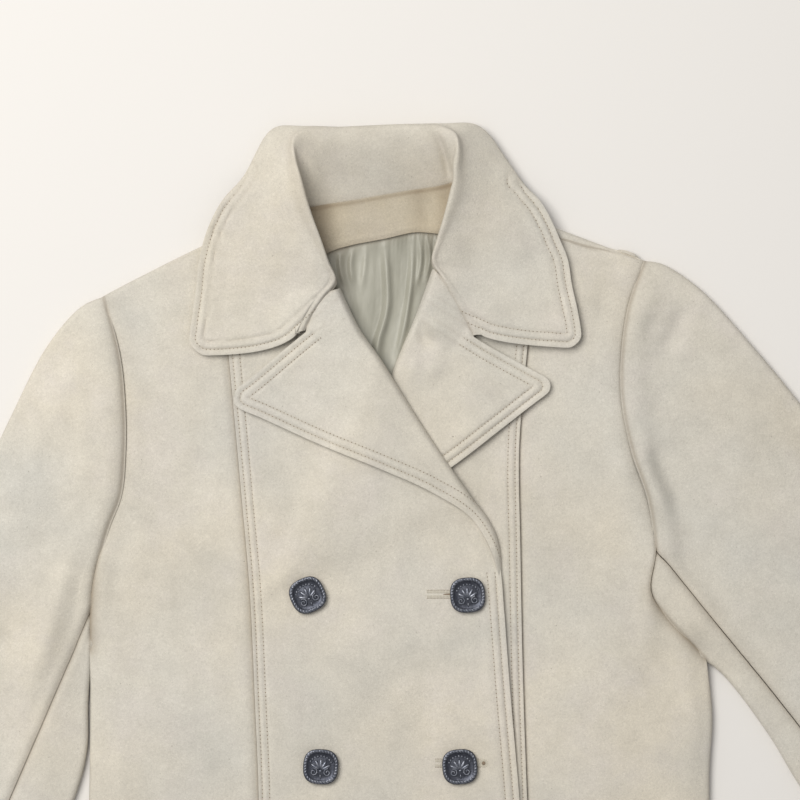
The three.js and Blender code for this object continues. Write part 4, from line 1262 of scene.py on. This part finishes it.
def makeSleeve(side):
    settings = sleeveShapes[side]
    half = settings["half"]
    near = moved(half.armhole, -half.turn * sleeveLook["inset"])
    inner = planCurve([near(0.0), *[np.array(p, float) for p in settings["inner"][1:]]])
    inner = moved(inner, half.turn * armholeGap)
    outer = planCurve([near(1.0), *settings["outer"][1:]])
    plan = planPatch(inner, outer, near, straight(inner(1.0), outer(1.0)))
    marks = (0.7, 1.5, 2.6, 4, 6, 9), (1.4, 3)
    along = spread(sleeveLook["length"], sleeveLook["rowStep"], *marks)[0]
    widths = np.linalg.norm(plan(np.ones(len(along)), along) - plan(np.zeros(len(along)), along), axis=1)
    tries = np.linspace(0.02, 0.6, 300)  # shares of the width at which the front seam is looked for
    tried = plan(np.repeat(tries[None, :], len(along), 0), np.repeat(along[:, None], len(tries), 1))
    seam = tries[np.argmin(gapTo(tried, sampled(planCurve(settings["seam"]), 60)), axis=1)]
    seam = np.convolve(np.pad(seam, 4, "edge"), np.ones(9) / 9, "valid")
    armPath = sampled(near, 160)
    innerPath, outerPath = sampled(inner, 300), sampled(outer, 300)

    def layer(across, onTop):
        rows = np.repeat(along[:, None], across.shape[1], 1)
        flat = plan(across, rows)
        toIn = gapTo(flat, innerPath)
        toOut = gapTo(flat, outerPath)
        toArm = gapTo(flat, armPath)
        toEdge = np.minimum(toIn, toOut)
        share = rollShare(toEdge, foldRadius)
        inside = smooth(toEdge, 0, 34)
        x, y = flat[..., 0], flat[..., 1]
        if not onTop:
            height = foldRadius - share * foldRadius + 0.25 * ease(x, y) * inside
            return flat, height, toArm
        waves = lumps(x, y, 24, 0.4) + lumps(x - 30, y + 20, 52, 0.55)
        lift = (sleeveLook["dome"] + waves + foldHeight(flat, sleeveFolds)) * inside
        head = 1 - smooth(rows, 0.03, 0.2)
        lift = lift + head * (sleeveLook["headPuff"] * bell(toArm - 12, 9) * inside)
        lift = lift - sleeveLook["armDip"] * bell(toArm, 3.0) * smooth(toEdge, 2, 14)
        height = foldRadius + share * (foldRadius + lift)
        return flat, height, toArm

    def joined(which, facing, parts):
        look, name = sleeveLook[which], f"sleeve_{which}_{side}"
        points = np.concatenate([raised(flat, height) for flat, height, _ in parts], 1)
        toArm = np.concatenate([part[2] for part in parts], 1)
        upright = points[..., 2] > foldRadius
        # painted shade along the armhole and the sleeve's seam
        shade = upright * (sleeveLook["armShade"] * bell(toArm - 1.4, 1.3) + 0.10 * bell(toArm, 8))
        toSeam = gapTo(points, points[::2, 0, :])
        points[..., 2] -= upright * look["deep"] * bell(toSeam, look["wide"])
        points[..., 2] += upright * look["puff"] * bell(toSeam - 5, 3.5)
        shade = shade + upright * (look["sleeveSeamShade"] * bell(toSeam, 1.3) + 0.12 * bell(toSeam, 6))
        piece = clothPiece(name, points, facing, woolWall, sleeveWool, shade, 0.8)
        finishCloth(piece, name, areaOf(points))

    gap = seamGap / widths
    over = spread(widths * (1 - seam), 4.0, (0.8, 1.8, 3.2, 5, 7.5), rollMarks)
    over = seam[:, None] + gap[:, None] + (1 - seam - gap)[:, None] * over
    below = 1 - spread(widths * backSeamInset, 2.5, (0.4, 1, 1.8, 2.8, 4.3), ())[:, 1:] * backSeamInset
    joined("upper", (0, 0, 1), [layer(over, True), layer(below, False)])
    start = (seam - gap)[:, None]
    over = start * (1 - spread(widths * seam, 3.2, (0.8, 1.8, 3.2, 5), rollMarks))
    end = 1 - backSeamInset - 0.003
    below = end * spread(widths * end, 9, rollMarks, (1.2, 3))[:, 1:]
    joined("under", (0, 0, -1), [layer(over, True), layer(below, False)])


makeSleeve("right")
makeSleeve("left")
print("sleeves set in")

# Stitches: small sunk threads, and dark dots of painted shade in the needle holes between them

stitchLook = {"length": 0.95, "thick": 0.3, "sunk": 0.14, "holeShade": 0.58, "holeShadeLift": 0.04}


def makeThread():
    material, tree, place = startMaterial("cream thread")
    twist = noise(tree, place, 1800, 2, 0.6)
    colour = mixed(tree, twist, (0.46, 0.42, 0.34, 1), (0.56, 0.52, 0.43, 1))
    return finishLook(material, colour, {"Roughness": 0.8})


# the dark brown of the needle holes and the buttonhole cuts is painted shade
def makeHoleShade():
    material, tree, place = startMaterial("needle hole shade")
    colour = mixed(tree, noise(tree, place, 300, 2, 0.5), (0.17, 0.125, 0.085, 1), (0.30, 0.235, 0.165, 1))
    return finishLook(material, colour, {"Roughness": 1.0})


thread, holeShade = makeThread(), makeHoleShade()


def turnTo(spots, normals, aheads):
    # for many places at once: the three axes of each, and its origin in the frame
    up = normals / np.linalg.norm(normals, axis=1, keepdims=True)
    along = aheads - up * (aheads * up).sum(1, keepdims=True)
    along /= np.linalg.norm(along, axis=1, keepdims=True)
    return np.stack([along, np.cross(up, along), up], 1), spots * mm + toFrame


def setOut(name, look, size, axes, origins, shift=(0, 0, 0), parts=(6, 4)):
    # one small ball, doubled until there are enough, then each copy laid in its place
    ball = bmesh.new()
    bmesh.ops.create_uvsphere(ball, u_segments=parts[0], v_segments=parts[1], radius=1)
    mesh = meshFrom(name, ball)
    each = len(mesh.vertices)
    work = bmesh.new()
    for bit in bin(len(origins))[2:]:
        bmesh.ops.duplicate(work, geom=work.verts[:] + work.edges[:] + work.faces[:])
        if bit == "1":
            work.from_mesh(mesh)
    work.to_mesh(mesh)
    work.free()
    local = (vertexPlaces(mesh) * size + shift) * mm
    number = np.arange(len(local)) // each
    setPlaces(mesh, (local[:, :, None] * axes[number]).sum(1) + origins[number])
    piece = meshPiece(name, mesh, look)


def sewAll():
    values = np.vstack(sewing)
    axes, origins = turnTo(values[:, :3], values[:, 3:6], values[:, 6:9])
    thick, sunk = stitchLook["thick"], stitchLook["sunk"]
    threadSize = (stitchLook["length"], thick, thick)
    lift = stitchLook["holeShadeLift"]
    setOut("topstitching", thread, threadSize, axes, origins, (0, 0, -sunk))
    # dark dots between the stitches: painted shade in the needle holes
    holeShadeSize = (stitchLook["holeShade"], stitchLook["holeShade"] * 0.85, 0.2)
    setOut("needle_hole_shade", holeShade, holeShadeSize, axes, origins, (stitchPitch / 2, 0, lift), (6, 3))
    print(f"sewn with {len(values)} stitches")


sewAll()

# Buttons: a cast rounded square with a rope rim and a palmette in its sunk field

buttonLook = {
    "square": 2.7,
    "around": 72,
    "roundWithin": 4,
    "turns": [25, 4, -3, 5, 2, -4],
    "rings": [
        (2.2, 0.0), (3.6, 0.0), (3.3, 2.2), (11.2, 2.5), (12.8, 3.0), (13.5, 3.8), (13.5, 4.6), (13.0, 5.0),
        (12.2, 5.1), (11.0, 5.0), (10.4, 4.6), (10.0, 4.35), (7.0, 4.7), (3.5, 4.9), (1.0, 5.0),
    ],
    "rope": {"count": 34, "reach": 11.9, "height": 4.95, "long": 1.75, "thick": 0.82, "lean": 42},
    "beads": {"count": 9, "reach": 9.0, "size": 0.92, "from": 28, "to": 152},
    "petals": {"count": 5, "long": 4.3, "wide": 1.35, "from": 30, "to": 150, "foot": -2.6},
    "volute": {"balls": 30, "turns": 1.3, "reach": 3.0, "size": 0.95, "x": 5.3, "y": -4.1},
    "fieldHeight": 4.75,
    "tarnish": 0.85,
}


def makePewter():
    material, tree, place = startMaterial("worn pewter")
    tarnish = noise(tree, place, 420, 4, 0.6)
    dull = ranged(tree, tarnish, 0.35, 0.65, 0, 1)
    colour = mixed(tree, dull, (0.115, 0.125, 0.155, 1), (0.29, 0.30, 0.335, 1))
    colour = mixed(tree, shadeAndPatinaOf(tree), colour, (0.038, 0.041, 0.054, 1))
    rough = ranged(tree, noise(tree, place, 900, 3, 0.6), 0.3, 0.7, 0.30, 0.50)
    tree.links.new(rough, tree.nodes["Principled BSDF"].inputs["Roughness"])
    return finishLook(material, colour, {"Metallic": 0.9}, tarnish, {"Strength": 0.35, "Distance": 0.0004})


pewter = makePewter()


def squareReach(reach, angle, power):
    c, s = abs(math.cos(angle)), abs(math.sin(angle))
    return reach / (c**power + s**power) ** (1 / power)


def ballAt(work, x, y, z, size, turn=0.0):
    place = Matrix.Translation((x, y, z)) @ Matrix.Rotation(turn, 4, "Z") @ Matrix.Diagonal((*size, 1))
    bmesh.ops.create_uvsphere(work, u_segments=8, v_segments=6, radius=1, matrix=place)


def castButton(look):
    work = bmesh.new()
    loop = bmesh.ops.create_circle(work, segments=look["around"], radius=1)["verts"]
    for count, (reach, height) in enumerate(look["rings"]):
        if count:
            edges = [edge for edge in work.edges if edge.verts[0] in loopSet and edge.verts[1] in loopSet]
            out = bmesh.ops.extrude_edge_only(work, edges=edges)
            loop = [item for item in out["geom"] if isinstance(item, bmesh.types.BMVert)]
        loopSet = set(loop)
        power = look["square"] if reach > look["roundWithin"] else 2.0
        for vert in loop:
            angle = math.atan2(vert.co.y, vert.co.x)
            radius = squareReach(reach, angle, power)
            vert.co = (radius * math.cos(angle), radius * math.sin(angle), height)
    bmesh.ops.holes_fill(work, edges=[edge for edge in work.edges if edge.is_boundary], sides=0)
    bmesh.ops.recalc_face_normals(work, faces=work.faces)
    rope = look["rope"]
    for k in range(rope["count"]):
        angle = 2 * math.pi * k / rope["count"]
        radius = squareReach(rope["reach"], angle, look["square"])
        lean = angle + math.pi / 2 - math.radians(rope["lean"])
        size = (rope["long"], rope["thick"], rope["thick"])
        ballAt(work, radius * math.cos(angle), radius * math.sin(angle), rope["height"], size, lean)
    beads = look["beads"]
    for k in range(beads["count"]):
        angle = math.radians(lerp(beads["from"], beads["to"], k / (beads["count"] - 1)))
        x, y = beads["reach"] * math.cos(angle), beads["reach"] * math.sin(angle) * 0.92
        ballAt(work, x, y, look["fieldHeight"] + 0.15, (beads["size"],) * 3)
    petals = look["petals"]
    for k in range(petals["count"]):
        angle = math.radians(lerp(petals["from"], petals["to"], k / (petals["count"] - 1)))
        reach = petals["long"] + 0.5
        size = (petals["long"], petals["wide"], 1.25)
        x, y = reach * math.cos(angle), petals["foot"] + reach * math.sin(angle)
        ballAt(work, x, y, look["fieldHeight"], size, angle)
    ballAt(work, 0, petals["foot"] - 0.4, look["fieldHeight"] + 0.2, (1.5, 1.1, 1.3))
    volute = look["volute"]
    for mirror in (-1, 1):
        for k in range(volute["balls"]):
            share = k / (volute["balls"] - 1)
            angle = math.pi / 2 + share * volute["turns"] * 2 * math.pi
            reach = volute["reach"] * (1 - 0.78 * share)
            x = mirror * (volute["x"] + reach * math.cos(angle))
            y = volute["y"] + reach * math.sin(angle)
            grow = volute["size"] * (1 - 0.3 * share)
            ballAt(work, x, y, look["fieldHeight"] - 0.05, (grow, grow, grow * 1.7))
    ballAt(work, 0, -7.2, look["fieldHeight"] - 0.1, (0.8, 1.9, 1.1))
    for vert in work.verts:
        vert.co *= mm
    return work


def setButtons():
    cast = castButton(buttonLook)
    for row, y in enumerate(buttonRows):
        for column, x in enumerate((buttonColumns["right"][row], buttonColumns["left"][row])):
            number = row * 2 + column
            name = f"button_{number + 1}"
            seat = max(heightOn(rightFront, x + dx, y + dy) for dx in (-9, 0, 9) for dy in (-9, 0, 9))
            spot = np.array([x, y, 0]) * mm + toFrame
            turn = Matrix.Rotation(math.radians(buttonLook["turns"][number]), 4, "Z")
            lift = max(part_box(name)[0][2], (seat - 1.9) * mm)
            work = cast.copy()
            place = Matrix.Translation((spot[0], spot[1], lift)) @ turn
            bmesh.ops.transform(work, matrix=place, verts=work.verts)
            piece = meshPiece(name, meshFrom(name, work), pewter)
            heights = (vertexPlaces(piece.data)[:, 2] - lift) / mm
            setShadeAndPatina(piece.data, buttonLook["tarnish"] * (1 - smooth(heights, 4.7, 5.5)))
            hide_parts(name)
    cast.free()
    print("buttons on")


setButtons()


# Buttonholes in the right front: a slit with an eye at its end, bound with close stitches

def cutButtonholes():
    settings = {
        "holes": [(21, 58, -149.6), (27.5, 64.5, -279.6), (29, 66, -410.5)],
        "step": 1.1, "bar": (1.25, 0.4, 0.42), "off": 1.75, "eye": 2.6, "eyeBars": 14, "rim": 3.2,
    }
    spots, aheads, slits, eyes, rims = [], [], [], [], []
    for start, end, y in settings["holes"]:
        for x in np.arange(start, end - settings["eye"], settings["step"]):
            for side in (-1, 1):
                spots.append((x, y + side * settings["off"]))
                aheads.append((0, 1, 0))
                rims.append((x, y + side * settings["rim"]))
        for angle in np.linspace(0, 2 * math.pi, settings["eyeBars"], endpoint=False):
            ahead = np.array([math.cos(angle), math.sin(angle), 0])
            spots.append((end + settings["eye"] * ahead[0], y + settings["eye"] * ahead[1]))
            aheads.append(ahead)
        slits.append(((start + end) / 2, y))
        eyes.append((end, y))
    # the slit, the eye and the holes along the rims are dark shapes of painted shade
    parts = (
        ("buttonhole_binding", thread, settings["bar"], spots, aheads),
        ("buttonhole_slit_shade", holeShade, (18.5, 0.75, 0.55), slits, [(1, 0, 0)] * len(slits)),
        ("buttonhole_rim_hole_shade", holeShade, (0.5, 0.3, 0.16), rims, [(1, 0, 0)] * len(rims)),
        ("buttonhole_eye_shade", holeShade, (1.6, 1.6, 0.55), eyes, [(1, 0, 0)] * len(eyes)),
    )
    for name, look, size, flat, ahead in parts:
        level = [(x, y, heightOn(rightFront, x, y) - 0.03) for x, y in flat]
        up = np.repeat([[0.0, 0.0, 1.0]], len(level), 0)
        axes, origins = turnTo(np.array(level), up, np.array(ahead, float))
        setOut(name, look, size, axes, origins, parts=(8, 4))
    print("buttonholes bound")


cutButtonholes()

# Floor, light and camera

studio = {
    "floor": (0.737, 0.712, 0.68, 1),
    "floorSpots": (0.741, 0.716, 0.684, 1),
    "world": (0.98, 0.985, 1.0, 1),
    "worldStrength": 0.42,
    "lamp": {"size": 1.9, "power": 66, "place": (-1.05, 0.95, 2.3), "colour": (1.0, 0.985, 0.955)},
    "cameraHeight": 2.4,
    "frameWidth": 0.616,
    "cameraAim": (0.0, 0.0),
    "lampAim": (0, 0.12, 0),
}


def setStudio():
    work = bmesh.new()
    bmesh.ops.create_grid(work, x_segments=1, y_segments=1, size=4)
    floor = linked("floor", meshFrom("floor", work))
    material, tree, place = startMaterial("pale floor")
    tint = mixed(tree, noise(tree, place, 3, 2, 0.5), studio["floor"], studio["floorSpots"])
    floor.data.materials.append(finishLook(material, tint, {"Roughness": 0.9, "Specular IOR Level": 0.1}))
    world = bpy.data.worlds.new("studio")
    world.use_nodes = True
    sky = world.node_tree.nodes["Background"]
    sky.inputs["Color"].default_value = studio["world"]
    sky.inputs["Strength"].default_value = studio["worldStrength"]
    bpy.context.scene.world = world
    lamp = bpy.data.lights.new("soft window", "AREA")
    lamp.shape = "DISK"
    lamp.size = studio["lamp"]["size"]
    lamp.energy = studio["lamp"]["power"]
    lamp.color = studio["lamp"]["colour"]
    lampObject = linked("soft window", lamp)
    lampObject.location = studio["lamp"]["place"]
    aim = Vector(studio["lampAim"]) - lampObject.location
    lampObject.rotation_euler = aim.to_track_quat("-Z", "Y").to_euler()
    camera = bpy.data.cameras.new("overhead")
    camera.lens = camera.sensor_width * studio["cameraHeight"] / studio["frameWidth"]
    camera.clip_end = 20
    cameraObject = linked("overhead", camera)
    x, y = np.array(studio["cameraAim"]) * mm + toFrame[:2]
    cameraObject.location = (x, y, studio["cameraHeight"] + 0.01)
    bpy.context.scene.camera = cameraObject
    bpy.context.scene.view_settings.view_transform = "Standard"


setStudio()
